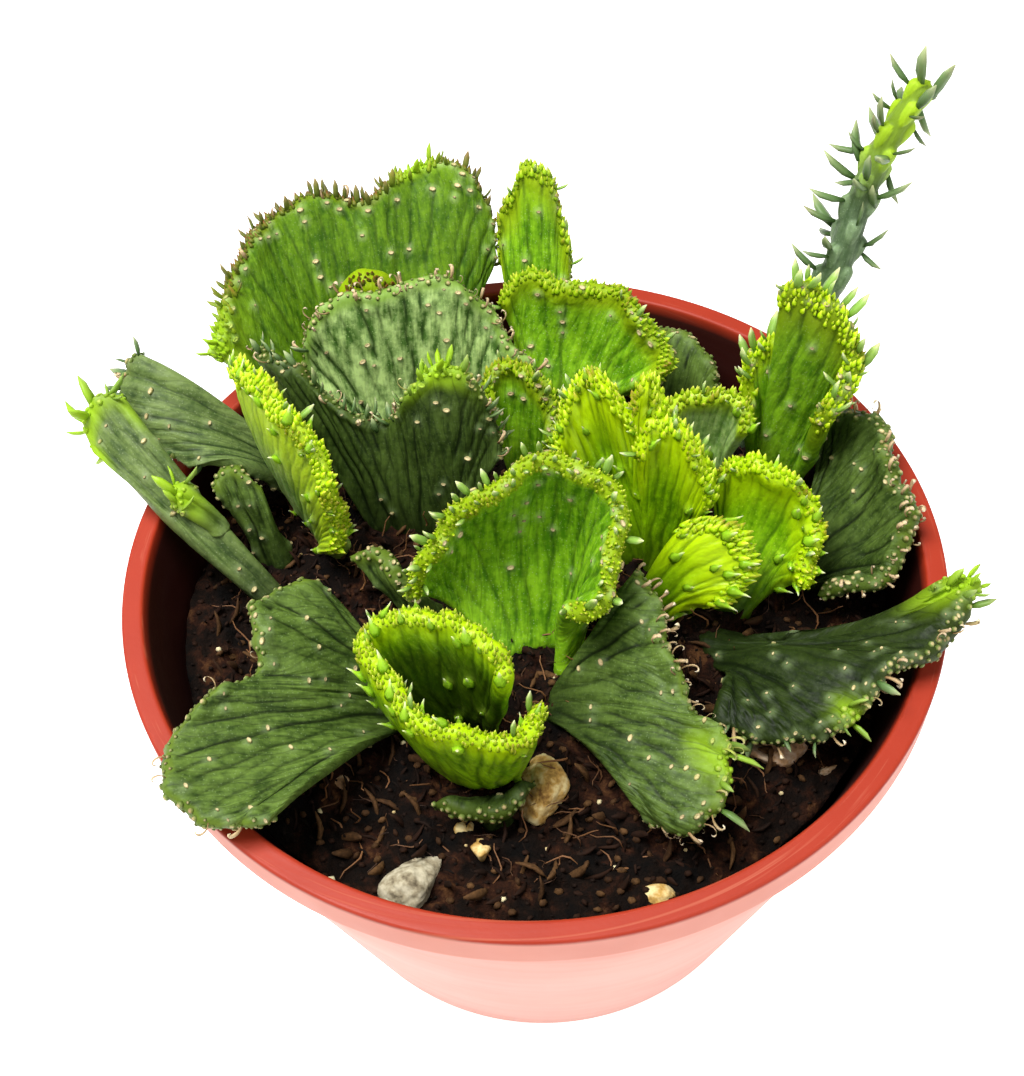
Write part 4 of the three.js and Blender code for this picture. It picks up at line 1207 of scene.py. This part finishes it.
# Each skin: dark and light of the flat, furrow, wax bloom round a scar, margin. Then how
# much light it lets through, how dark its veins are and how much paler its ribs are.
SKINS = {
    "deep_green": (("#304416", "#637c34", "#0e1804", "#859967", "#5f7522"), 0.05, 0.36, 0.16),
    "leaf_green": (("#4f840a", "#96cb23", "#22420d", "#bfd68c", "#90aa0c"), 0.13, 0.26, 0.12),
    "silver_green": (("#446626", "#b2ce7c", "#20350d", "#bdd78d", "#729432"), 0.05, 0.2, 0.4),
    "olive_green": (("#3b5025", "#708448", "#202f13", "#98a57b", "#5c6d2c"), 0.05, 0.3, 0.3),
    "fresh_green": (("#5e9004", "#98ca12", "#2c5506", "#c4df51", "#afd205"), 0.2, 0.12, 0.1),
    "pale_green": (("#6c9440", "#b4d07c", "#3a5c24", "#c8de98", "#b8d818"), 0.2, 0.12, 0.25),
    "finger_green": (("#566e48", "#8aa278", "#34482c", "#b4c4a4", "#a4c814"), 0.08, 0.12, 0.12),
    "lime": (("#538002", "#8bba06", "#2c5303", "#b6d63e", "#b6d606"), 0.22, 0.1, 0.12),
}
skins = {name: skin_material("waxy_skin_" + name, *spec) for name, spec in SKINS.items()}

# What grows on the skin: oval scars of shed leaves, the dense young tubercles of a margin,
# its small fleshy leaves, and old leaves that dried to curled straw. Each has its colours
# from root to tip, which tint varies a little, its roughness, and how far its tips turn
# brown in patches along a rim.
TIP_BROWN = linear("#7a4420")
GROWTHS = {
    "scar_cork": (("#5c6c34", "#ac9c6c", "#ccbe90"), 0.75, 0.4),
    "tubercle_old": (("#445818", "#6c7c3c", "#b8a878"), 0.5, 0.5),
    "tubercle_russet": (("#445c10", "#6c6c1c", "#74281a"), 0.5, 0.5),
    "tubercle_brown": (("#6c9404", "#98b410", "#c8cc50"), 0.4, 0.6),
    "tubercle_green": (("#648c04", "#94b80c", "#c4c840"), 0.45, 0.9),
    "tubercle_young": (("#80ac02", "#b4d80c", "#dce850"), 0.4, 0.8),
    "bud_flesh": (("#6c9c04", "#a0cc30", "#e4e8b8"), 0.35, 0.1),
    "leaflet_flesh": (("#5c8420", "#8cb050", "#d8dca8"), 0.4, 0.2),
    "leaflet_grey": (("#3c5c28", "#6a8452", "#a8b080"), 0.4, 0.3),
    "leaflet_russet": (("#4c6418", "#646828", "#8c7450"), 0.5, 0.5),
    "dry_leaf_straw": (("#8a6c44", "#cdb48c", "#efe2c4"), 0.75, 0.2),
}
growths = {}
for name, (codes, roughness, browning) in GROWTHS.items():
    material, tree, shader = new_material(name)
    tip = add_node(tree, "ShaderNodeAttribute", attribute_name="tip")
    tint = add_node(tree, "ShaderNodeAttribute", attribute_name="tint")
    tone = add_node(tree, "ShaderNodeValToRGB", {"Fac": tip.outputs["Fac"]})
    tone.color_ramp.elements[0].color = linear(codes[0])
    tone.color_ramp.elements[1].color = linear(codes[2])
    tone.color_ramp.elements.new(0.6).color = linear(codes[1])
    place = add_node(tree, "ShaderNodeTexCoord").outputs["Object"]
    patch = add_node(tree, "ShaderNodeTexNoise", {"Vector": place, "Scale": 1 / (6 * MM), "Detail": 3.0})
    brown = add_node(
        tree, "ShaderNodeMapRange",
        {"Value": patch.outputs["Fac"], "From Min": 0.5, "From Max": 0.68, "To Max": browning},
    )
    brown = add_node(
        tree, "ShaderNodeMath", {0: brown.outputs[0], 1: tip.outputs["Fac"]}, operation="MULTIPLY"
    )
    tone = add_node(
        tree, "ShaderNodeMix", {"Factor": brown.outputs[0], 6: tone.outputs["Color"], 7: TIP_BROWN},
        data_type="RGBA",
    )
    value = add_node(
        tree, "ShaderNodeMapRange", {"Value": tint.outputs["Fac"], "To Min": 0.7, "To Max": 1.2}
    )
    varied = add_node(
        tree, "ShaderNodeHueSaturation", {"Color": tone.outputs[2], "Value": value.outputs[0]}
    )
    young = add_node(tree, "ShaderNodeAttribute", attribute_name="young")
    tone = add_node(
        tree, "ShaderNodeMix",
        {"Factor": young.outputs["Fac"], 6: varied.outputs["Color"], 7: YOUNG_LIME}, data_type="RGBA",
    )
    is_fleshy = name in ("tubercle_young", "bud_flesh", "leaflet_flesh")
    feed(
        shader,
        {
            "Base Color": tone.outputs[2],
            "Roughness": roughness,
            "Specular IOR Level": 0.25,
            "Subsurface Weight": 0.3 if is_fleshy else 0.05,
            "Subsurface Radius": (0.8, 1.0, 0.3),
            "Subsurface Scale": 1.2 * MM,
        },
    )
    growths[name] = material

# Their shapes, 1 mm or so long: a low oval scar, a pointed leaning tubercle, a blunt old one,
# a bud of a leaf on its cushion, a plump leaflet and a dried leaf curled like a shaving.
line = [(0, -0.3), (0, 0.06), (0, 0.14), (0, 0.04)]
scar_shape = tube_shape("leaf_scar", line, (0.5, 0.46, 0.36, 0.2), 8, 0.62)
line = [(0, -0.2), (0, 0.15), (0.14, 0.5), (0.42, 0.95)]
tubercle_shape = tube_shape("tubercle", line, (0.5, 0.42, 0.25, 0.05), 6, 1.25)
line = [(0, -0.2), (0, 0.14), (0, 0.32), (0, 0.38)]
knob_shape = tube_shape("blunt_tubercle", line, (0.5, 0.47, 0.34, 0.14), 6)
line = [(-0.3, -0.3), (-0.1, 0.1), (0.25, 0.36), (0.6, 0.62), (0.95, 1.0)]
bud_shape = tube_shape("leaf_bud", line, (0.62, 0.46, 0.24, 0.16, 0.02), 6)
line = [(0, -0.06), (0, 0.3), (0.05, 0.68), (0.16, 1.0)]
leaflet_shape = tube_shape("leaflet", line, (0.1, 0.19, 0.17, 0.025), 5, 0.5)
line = [(0.3 * (1 - math.cos(t)), 0.36 * math.sin(t) + 0.16 * t) for t in np.linspace(0, 3.9, 9)]
remnant_shape = tube_shape("dry_leaf", line, (0.08,) * 2 + (0.11,) * 5 + (0.07, 0.02), 4, 0.45)

skin_growth = growth_tree("skin_growth", ("Scar", "Tubercle", "Leaflet", "Remnant"))
OLD_GROWTH = {
    "Scar Spacing": 2.3 * MM,
    "Scar Size": 1.2,
    "Scar Lean": 0.2,
    "Scar Spread": 0.15,
    "Tubercle Spacing": 1.2 * MM,
    "Tubercle Size": 1.0,
    "Tubercle Lean": 0.6,
    "Tubercle Spread": 0.3,
    "Leaflet Spacing": 2.6 * MM,
    "Leaflet Size": 3.1,
    "Leaflet Lean": 0.7,
    "Leaflet Spread": 0.5,
    "Remnant Spacing": 1.9 * MM,
    "Remnant Size": 2.8,
    "Remnant Lean": 0.4,
    "Remnant Spread": 0.9,
    "Mound Height": 0.42 * MM,
    "Mound Radius": 1.5 * MM,
    "Scar Shape": scar_shape,
    "Tubercle Shape": knob_shape,
    "Leaflet Shape": leaflet_shape,
    "Remnant Shape": remnant_shape,
    "Scar Material": growths["scar_cork"],
    "Tubercle Material": growths["tubercle_old"],
    "Leaflet Material": growths["leaflet_grey"],
    "Remnant Material": growths["dry_leaf_straw"],
}
GREEN_GROWTH = OLD_GROWTH | {
    "Tubercle Shape": tubercle_shape,
    "Tubercle Spacing": 0.88 * MM,
    "Tubercle Lean": 0.9,
    "Tubercle Spread": 0.5,
    "Tubercle Material": growths["tubercle_green"],
    "Leaflet Material": growths["leaflet_flesh"],
}
YOUNG_GROWTH = GREEN_GROWTH | {
    "Scar Shape": bud_shape,
    "Scar Material": growths["bud_flesh"],
    "Scar Size": 1.6,
    "Scar Spacing": 2.8 * MM,
    "Tubercle Size": 1.1,
    "Tubercle Material": growths["tubercle_young"],
    "Mound Height": 0.5 * MM,
}
GROWTH_OF = {
    "deep_green": OLD_GROWTH,
    "silver_green": OLD_GROWTH,
    "olive_green": OLD_GROWTH,
    "leaf_green": GREEN_GROWTH,
    "fresh_green": YOUNG_GROWTH,
    "pale_green": YOUNG_GROWTH,
    "lime": YOUNG_GROWTH,
}

# Crests whose bright margin is a solid of its own, which the crest replaces as well.
WITH_MARGIN = (
    "crest_back_edge",
    "crest_back_bright",
    "crest_middle_small",
    "crest_right_tall",
    "crest_right_round",
    "crest_front_middle",
    "crest_front_cup",
    "crest_left_strap",
    "crest_left_upright",
)


def grow_crests(crests, seed):
    """Builds each crest of a group in place of its solids and grows its small things."""
    for number, (node, (skin, own, *specs)) in enumerate(crests.items()):
        crest = crest_mesh(node.replace("crest", "fan"), specs, seed + number)
        crest.data.materials.append(skins[skin])
        grow_on(crest, skin_growth, GROWTH_OF[skin] | own | {"Seed": seed + number})
        nodes = (node, node + "_margin") if node in WITH_MARGIN else (node,)
        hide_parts(*nodes)
        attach(crest, "root")
# Back crests: the tallest fans behind, mid green, each with a thin reddish or yellow growing
# margin. The large one has a bright young knob on its face.
BACK_CRESTS = {
    "crest_back": (
        "leaf_green",
        {
            "Tubercle Material": growths["tubercle_russet"], "Tubercle Lean": 1.2,
            "Leaflet Material": growths["leaflet_russet"], "Leaflet Spacing": 1.7 * MM,
            "Leaflet Size": 3.0,
        },
        {
            "foot": ((-35, 43), (-20, 50)),
            "rim": (
                (-59, 43, 114), (-56, 53, 122), (-50, 67, 125), (-37, 76, 126), (-29, 75, 123),
                (-22, 80, 125), (-10, 82, 126), (-4, 78, 120), (-4, 72, 108),
            ),
            "bow": (0, -1, 0), "bright": 1.6, "band": 1.2, "leaflets": 0.7, "remnants": 0.1, "dark": 0.6,
            "young": ((0.0, 0.1, 9, 1), (0.68, 0.05, 3, 1)),
        },
        {
            "foot": ((-31, 60, 109), (-26, 61, 109)),
            "rim": ((-32, 56, 112), (-32, 57, 117), (-29, 58, 119), (-25, 58, 117), (-25, 57, 112)),
            "bow": (0, 0, 0), "bright": 20, "band": 0.1, "thick": 1.8, "leaflets": 0.0, "scars": 0.0,
        },
    ),
    "crest_back_edge": (
        "leaf_green",
        {},
        {
            "foot": ((1, 56), (8, 56)),
            "rim": (
                (-2, 71, 110), (-1, 75, 117), (2, 77, 124), (5, 78, 129), (9, 76, 127), (11, 73, 119),
                (13, 69, 110),
            ),
            "bow": (0, 0, 0), "bright": 9, "band": 3.5,
        },
    ),
    "crest_back_bright": (
        "leaf_green",
        {},
        {
            "foot": ((5, 45), (14, 43)),
            "rim": (
                (-3, 58, 109), (0, 60, 113), (9, 58, 115), (19, 54, 115), (27, 47, 112), (30, 41, 107),
                (27, 37, 102),
            ),
            "bow": (0, 3, 0), "bright": 6, "band": 1.8, "leaflets": 0.2,
        },
    ),
    "crest_back_low": (
        "deep_green",
        {},
        {
            "foot": ((30, 46), (38, 41)),
            "rim": ((29, 59, 97), (34, 57, 99), (38, 53, 99), (41, 48, 98), (42, 43, 95)),
            "bow": (0, 0, 2), "bright": 2, "band": 1.5, "leaflets": 0.0,
        },
    ),
}
grow_crests(BACK_CRESTS, 100)


# Middle crests: a silvery and a dark waved old fan, whose margins have died back to dry leaf
# remains, and between them bright young shoots packed with tubercles.
MIDDLE_CRESTS = {
    "crest_middle_pale": (
        "silver_green",
        {},
        {
            "foot": ((-25, 33), (-13, 35)),
            "rim": (
                (-43, 45, 105), (-42, 49, 113), (-36, 50, 119), (-23, 52, 121), (-14, 54, 121),
                (-7, 53, 116), (-1, 48, 108), (5, 42, 102),
            ),
            "bow": (0, 1, 0), "bright": 2.5, "band": 1.2, "leaflets": 0.1, "remnants": 0.7, "rib": 3.0,
            "groove": 0.35,
        },
    ),
    "crest_middle_waved": (
        "deep_green",
        {"Leaflet Spacing": 1.6 * MM, "Leaflet Size": 3.0},
        {
            "foot": ((-32, 21), (-12, 17)),
            "rim": (
                (-51, 41, 117), (-44, 36, 118), (-37, 31, 113), (-30, 28, 109), (-24, 27, 111),
                (-19, 28, 118), (-13, 28, 121), (-8, 27, 116), (-4, 23, 103),
            ),
            "bow": (0, 0, 2), "bright": 1, "band": 1.2, "leaflets": 0.6, "remnants": 0.6, "dark": 0.5,
            "young": ((0.66, 0.09, 4, 1),),
        },
    ),
    "crest_middle_small": (
        "leaf_green",
        {"Leaflet Size": 3.2},
        {
            "foot": ((-3, 30), (5, 31)),
            "rim": (
                (-7, 34, 106), (-6, 37, 110), (0, 38, 112), (5, 34, 109), (7, 29, 103), (6, 26, 98),
            ),
            "bow": (0, 0, 0), "bright": 5, "band": 2.5, "leaflets": 0.8,
        },
    ),
    "crest_middle_bright": (
        "lime",
        {},
        {
            "foot": ((15, 10), (25, 7)),
            "rim": ((5, 16, 106), (7, 20, 115), (12, 22, 124), (16, 19, 122), (21, 14, 117)),
            "bow": (0, 0, 0), "bright": 14, "band": 3, "rib": 2.0,
        },
        {
            "foot": ((20, 11, 103), (23, 10, 103)),
            "rim": ((20, 15, 119), (21, 17, 125), (23, 18, 127), (24, 16, 124), (24, 13, 118)),
            "bow": (0, 0, 0), "bright": 20, "band": 1.5, "leaflets": 0.3,
        },
        {
            "foot": ((22, 7), (28, 4)),
            "rim": ((20, 11, 114), (23, 13, 119), (28, 12, 119), (32, 8, 114), (33, 4, 106)),
            "bow": (0, 0, 0), "bright": 11, "band": 3, "leaflets": 0.4, "rib": 2.0,
        },
    ),
    "crest_middle_low": (
        "deep_green",
        {},
        {
            "foot": ((-24, -3), (-16, -5)),
            "rim": ((-34, 3, 99), (-29, 2, 100), (-25, -2, 99), (-22, -5, 95)), "bow": (0, 0, 0),
            "bright": 2, "band": 1.5, "leaflets": 0.0,
        },
    ),
}
grow_crests(MIDDLE_CRESTS, 200)


# Right crests: bright young heads above a dark tongue that leans out over the lip and a dark
# upright fan behind it.
RIGHT_CRESTS = {
    "crest_right_short": (
        "pale_green",
        {"Slot": "fresh_green", "Tubercle Material": growths["tubercle_brown"]},
        {
            "foot": ((31, 27), (39, 25)),
            "rim": ((28, 28, 105), (33, 30, 109), (39, 29, 109), (42, 26, 108), (43, 22, 104)),
            "bow": (0, 1, 0), "low": 0.1, "band": 1.6, "rib": 1.5,
        },
    ),
    "crest_right_tall": (
        "leaf_green",
        {
            "Tubercle Material": growths["tubercle_young"], "Leaflet Size": 4.2,
            "Leaflet Spacing": 2.0 * MM,
        },
        {
            "foot": ((46, 24), (54, 20)),
            "rim": (
                (49, 34, 131), (53, 32, 132), (59, 29, 128), (62, 26, 122), (60, 21, 117), (56, 18, 112),
            ),
            "bow": (0, 0, 0), "bright": 11, "band": 5, "leaflets": 0.9, "dark": 0.4,
        },
        {
            "foot": ((46, 26), (50, 27)),
            "rim": ((43, 29, 106), (44, 32, 113), (48, 33, 119), (51, 31, 118)), "bow": (0, 0, 0),
            "bright": 6, "band": 3, "leaflets": 0.6,
        },
    ),
    "crest_right_fist": (
        "lime",
        {"Leaflet Size": 2.8, "Tubercle Size": 1.3, "Tubercle Spacing": 1.0 * MM},
        {
            "foot": ((18, -5), (24, -10)),
            "rim": (
                (29, 0, 106), (34, -1, 107), (38, -5, 106), (39, -9, 103), (36, -11, 98), (32, -9, 94),
            ),
            "bow": (0, 0, 4), "bright": 15, "band": 4.5, "rib": 1.7, "groove": 0.5,
        },
    ),
    "crest_right_round": (
        "fresh_green",
        {},
        {
            "foot": ((34, -2), (41, -7)),
            "rim": (
                (34, 10, 104), (37, 9, 111), (43, 6, 113), (49, 2, 110), (52, -4, 105), (48, -11, 98),
            ),
            "bow": (2, 3, 0), "bright": 9, "band": 1.7, "leaflets": 0.6, "rib": 2.2,
        },
    ),
    "crest_right_dark": (
        "deep_green",
        {},
        {
            "foot": ((51, 9), (54, -3)),
            "rim": (
                (58, 26, 95), (62, 28, 101), (66, 24, 106), (68, 15, 108), (68, 4, 107), (69, -4, 105),
                (64, -10, 100), (52, -9, 93),
            ),
            "bow": (2, 0, 0), "bright": 1, "band": 1.5, "leaflets": 0.0, "remnants": 0.6, "dark": 0.3,
        },
    ),
    "crest_right_tongue": (
        "deep_green",
        {"Leaflet Spacing": 1.8 * MM, "Leaflet Size": 3.6, "Scar Spacing": 1.7 * MM, "Scar Size": 0.85},
        {
            "foot": ((32, -11), (35, -20)),
            "rim": (
                (69, -21, 111), (74, -22, 112), (73, -26, 111), (66, -31, 107), (56, -36, 103),
                (51, -41, 100), (45, -42, 97), (36, -39, 94), (29, -34, 92),
            ),
            "bow": (0, 0, 3), "first_bow": (0, -4, -4), "bright": 1, "band": 1.5, "leaflets": 0.1,
            "remnants": 0.4, "dark": 0.88, "young": ((0.06, 0.07, 9, 1), (0.58, 0.04, 5, 0.6)),
        },
    ),
}
grow_crests(RIGHT_CRESTS, 300)


# Front crests: two old leathery fans that lean out to the left and right, the folded green
# one between them with its yellow margin, and a young cup in front of it.
FRONT_CRESTS = {
    "crest_front_right": (
        "deep_green",
        {"Leaflet Spacing": 2.0 * MM, "Leaflet Size": 5.0},
        {
            "foot": ((5, -21), (3, -29)),
            "rim": (
                (19, -9, 104), (22, -21, 103), (26, -37, 100), (30, -43, 100), (29, -50, 98),
                (23, -55, 94), (16, -52, 91),
            ),
            "bow": (0, 0, 3), "bright": 1, "band": 1.2, "leaflets": 0.0, "remnants": 1.0,
            "young": ((0.66, 0.08, 8, 0.7),),
        },
    ),
    "crest_front_middle": (
        "leaf_green",
        {
            "Tubercle Material": growths["tubercle_brown"], "Tubercle Size": 0.72,
            "Tubercle Spacing": 0.7 * MM, "Leaflet Spacing": 2.0 * MM, "Leaflet Size": 3.4,
        },
        {
            "foot": ((-9, -14), (-2, -11), (5, -12), (6, -16), (3, -18)),
            "rim": (
                (-22, -11, 102), (-18, -6, 111), (-10, -2, 118), (3, 1, 123), (11, -1, 123),
                (15, -7, 120), (14, -15, 115), (10, -22, 112), (5, -24, 112),
            ),
            "bow": (0, 5, 0), "low": 0.1, "bright": 2.0, "leaflets": 0.9,
        },
    ),
    "crest_front_cup": (
        "fresh_green",
        {
            "Tubercle Material": growths["tubercle_brown"], "Tubercle Size": 0.8,
            "Tubercle Spacing": 0.75 * MM,
        },
        {
            "foot": ((-6, -36), (-12, -38), (-17, -34), (-13, -29), (-8, -30)),
            "rim": (
                (1, -36, 105), (-4, -42, 106), (-12, -43, 108), (-22, -37, 110), (-28, -28, 111),
                (-29, -23, 111), (-22, -22, 114), (-13, -26, 116), (-6, -31, 115), (-6, -35, 112),
            ),
            "bow": (-1, -2, -3), "bright": 5, "band": 2.4, "leaflets": 0.35, "rib": 2.4, "low": 0.3,
            "hollow": (0.93, 0.0),
        },
    ),
    "crest_front_low": (
        "deep_green",
        {},
        {
            "foot": ((-6, -44), (-12, -45)),
            "rim": ((-2, -43, 90), (-7, -48, 91), (-14, -49, 91), (-20, -46, 91)), "bow": (0, 0, 1),
            "bright": 1, "band": 1.0, "leaflets": 0.0, "dark": 0.3,
        },
    ),
    "crest_front_left": (
        "deep_green",
        {},
        {
            "foot": ((-27, -18), (-25, -28)),
            "rim": (
                (-36, -8, 98), (-42, -8, 104), (-49, -15, 108), (-48, -26, 105), (-56, -32, 107),
                (-62, -42, 107), (-60, -50, 107), (-53, -55, 106), (-45, -54, 103),
            ),
            "bow": (0, 0, 3), "bright": 1, "band": 1.3, "leaflets": 0.0, "remnants": 0.15,
        },
    ),
}
grow_crests(FRONT_CRESTS, 400)


# Left crests: a long strap with a pale rolled end, a striped pale fan behind it and a bright
# upright one that is the youngest.
LEFT_CRESTS = {
    "crest_left_strap": (
        "olive_green",
        {"Slot": "deep_green", "Leaflet Size": 4.4, "Leaflet Spacing": 1.7 * MM, "Leaflet Spread": 1.1},
        {
            "foot": ((-52, 1), (-48, 5)),
            "rim": ((-81, 24, 110), (-83, 28, 112), (-81, 31, 114), (-78, 32, 115), (-75, 32, 115)),
            "bow": (0, -3, 4), "bright": 5, "band": 1.6, "leaflets": 0.7, "dark": 0.05,
            "young": ((0.0, 0.3, 8, 0.9), (0.4, 0.5, 5, 0.9), (0.95, 0.15, 9, 0.6)),
        },
        {
            "foot": ((-60, 9, 101), (-57, 12, 101)),
            "rim": ((-66, 11, 106), (-66, 14, 109), (-63, 15, 109)), "bow": (0, 0, 0), "bright": 6,
            "band": 1.2, "leaflets": 0.8, "young": ((0.5, 0.6, 9, 0.9),),
        },
    ),
    "crest_left_back": (
        "olive_green",
        {"Leaflet Size": 4.2, "Leaflet Spacing": 2.0 * MM},
        {
            "foot": ((-47, 35), (-44, 27)),
            "rim": ((-74, 44, 115), (-77, 41, 113), (-77, 37, 110), (-73, 30, 106), (-64, 24, 103)),
            "bow": (2, -3, 7), "bright": 1.5, "band": 1.4, "leaflets": 0.7, "remnants": 0.3,
        },
    ),
    "crest_left_upright": (
        "pale_green",
        {"Slot": "leaf_green"},
        {
            "foot": ((-43, 23), (-37, 13)),
            "rim": (
                (-51, 30, 126), (-46, 21, 127), (-40, 14, 125), (-36, 9, 118), (-34, 7, 107),
                (-35, 6, 97),
            ),
            "bow": (-3, 0, 0), "low": 0.2, "bright": 20, "band": 4.0, "rib": 1.8,
        },
    ),
    "crest_left_inner": (
        "deep_green",
        {},
        {
            "foot": ((-53, 15), (-47, 12)),
            "rim": ((-60, 19, 102), (-57, 21, 104), (-54, 20, 104), (-51, 20, 101)), "bow": (0, 0, 0),
            "bright": 2, "band": 1.5, "leaflets": 0.0,
        },
    ),
}
grow_crests(LEFT_CRESTS, 500)

# Finger stem: the one shoot that did not crest. It is a thin round stem that leans out to
# the right, with tubercles in spirals and a tuft of small leaves at its growing end.
STEM_LINE = (
    (46, 38, 77),
    (47.5, 39, 90),
    (52, 41, 103),
    (61, 45, 120),
    (66, 50, 138),
    (70, 52, 149),
    (75, 53, 158),
)
STEM_RADIUS = 3.7
STEM_TIP_RADIUS = 2.2
STEM_TIP_ROUNDING = 2.2
STEM_RINGS = 190
STEM_SIDES = 48
STEM_TUBERCLES = 48
TURN_BETWEEN = math.radians(137.5)
TUBERCLE_RISE = 1.4
TUBERCLE_HALF_WIDTH = 1.7
TUBERCLE_ABOVE = 1.3
TUBERCLE_BELOW = 4.2
VALLEY_DEPTH = 0.3

t = np.linspace(0, 1, STEM_RINGS)
spine = along(STEM_LINE, t)
spine_length = np.linalg.norm(np.diff(spine, axis=0), axis=1).sum()
ahead = unit(np.gradient(spine, axis=0))
aside = unit(np.cross(ahead, (0.0, 1.0, 0.2)))
across = np.cross(ahead, aside)
radius = STEM_RADIUS + (STEM_TIP_RADIUS - STEM_RADIUS) * t**1.5
to_tip = (1 - t) * spine_length
radius *= np.sqrt(1 - (1 - np.clip(to_tip / STEM_TIP_ROUNDING, 0.02, 1)) ** 2)

# Tubercles are drops, pointed downwards, each a golden turn on from the one below.
turn = np.linspace(0, 2 * np.pi, STEM_SIDES, endpoint=False)[None]
height = (t * spine_length)[:, None]
bumps = np.zeros((STEM_RINGS, STEM_SIDES))
stem_rng = np.random.default_rng(31)
for number in range(STEM_TUBERCLES):
    off = (turn - number * TURN_BETWEEN + np.pi) % (2 * np.pi) - np.pi
    rise = height - spine_length * (number + 0.5) / STEM_TUBERCLES
    reach = np.where(rise > 0, TUBERCLE_ABOVE, TUBERCLE_BELOW)
    far = np.hypot(off * radius[:, None] / TUBERCLE_HALF_WIDTH, rise / reach)
    bumps = np.maximum(bumps, stem_rng.uniform(0.75, 1) * np.clip(1 - far**2, 0, 1))
girth = (radius[:, None] + TUBERCLE_RISE * bumps - VALLEY_DEPTH)[..., None]
points = spine[:, None] + girth * (
    np.cos(turn)[..., None] * aside[:, None] + np.sin(turn)[..., None] * across[:, None]
)
count = STEM_RINGS * STEM_SIDES
points = np.concatenate([points.reshape(-1, 3), spine[:1], spine[-1:] + ahead[-1:] * 0.3])
at = lambda ring, side: ring * STEM_SIDES + side % STEM_SIDES
faces = []
for side in range(STEM_SIDES):
    faces.append((count, at(0, side + 1), at(0, side)))
    for ring in range(STEM_RINGS - 1):
        faces.append((at(ring, side), at(ring, side + 1), at(ring + 1, side + 1), at(ring + 1, side)))
    faces.append((at(STEM_RINGS - 1, side), at(STEM_RINGS - 1, side + 1), count + 1))
stem = mesh_object("finger_shoot", points * MM, faces)

# Peaks bear a scar low on the stem and a leaf high on it.
with_ends = lambda values: np.append(np.repeat(values, STEM_SIDES), [values[0], values[-1]])
peaks = np.append(bumps.ravel(), [0, 0])
nothing = np.zeros(len(points))
grain = np.stack([nothing, with_ends(t * spine_length), nothing], axis=1)
grain[:count, 0] = np.tile(turn[0] * STEM_RADIUS, STEM_RINGS)
flow = np.vstack([np.repeat(ahead, STEM_SIDES, axis=0), ahead[:1], ahead[-1:]])
values = {
    "margin": with_ends(smooth_step(0.7, 0.88, t)),
    "shade": with_ends(0.2 * (1 - smooth_step(0.3, 0.7, t))),
    "furrow": (1 - smooth_step(0.0, 0.5, peaks)) * 0.6,
    "ridge": peaks,
    "scar": (peaks > 0.7) * with_ends(1 - smooth_step(0.48, 0.56, t)),
    "leaflet": (peaks > 0.6) * with_ends(smooth_step(0.5, 0.58, t)),
}
values |= dict.fromkeys(("tubercle", "young", "remnant"), nothing)
store(stem, values, {"grain": grain, "flow": flow})
stem.data.materials.append(skins["finger_green"])
stem_growth = {
    "Scar Spacing": 2.0 * MM,
    "Scar Size": 0.8,
    "Mound Height": 0.0,
    "Leaflet Spacing": 1.5 * MM,
    "Leaflet Size": 5.8,
    "Leaflet Lean": 0.25,
    "Leaflet Spread": 0.8,
    "Leaflet Material": growths["leaflet_grey"],
    "Seed": 9,
}
grow_on(stem, skin_growth, OLD_GROWTH | stem_growth)
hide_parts("finger_stem")
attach(stem, "root")
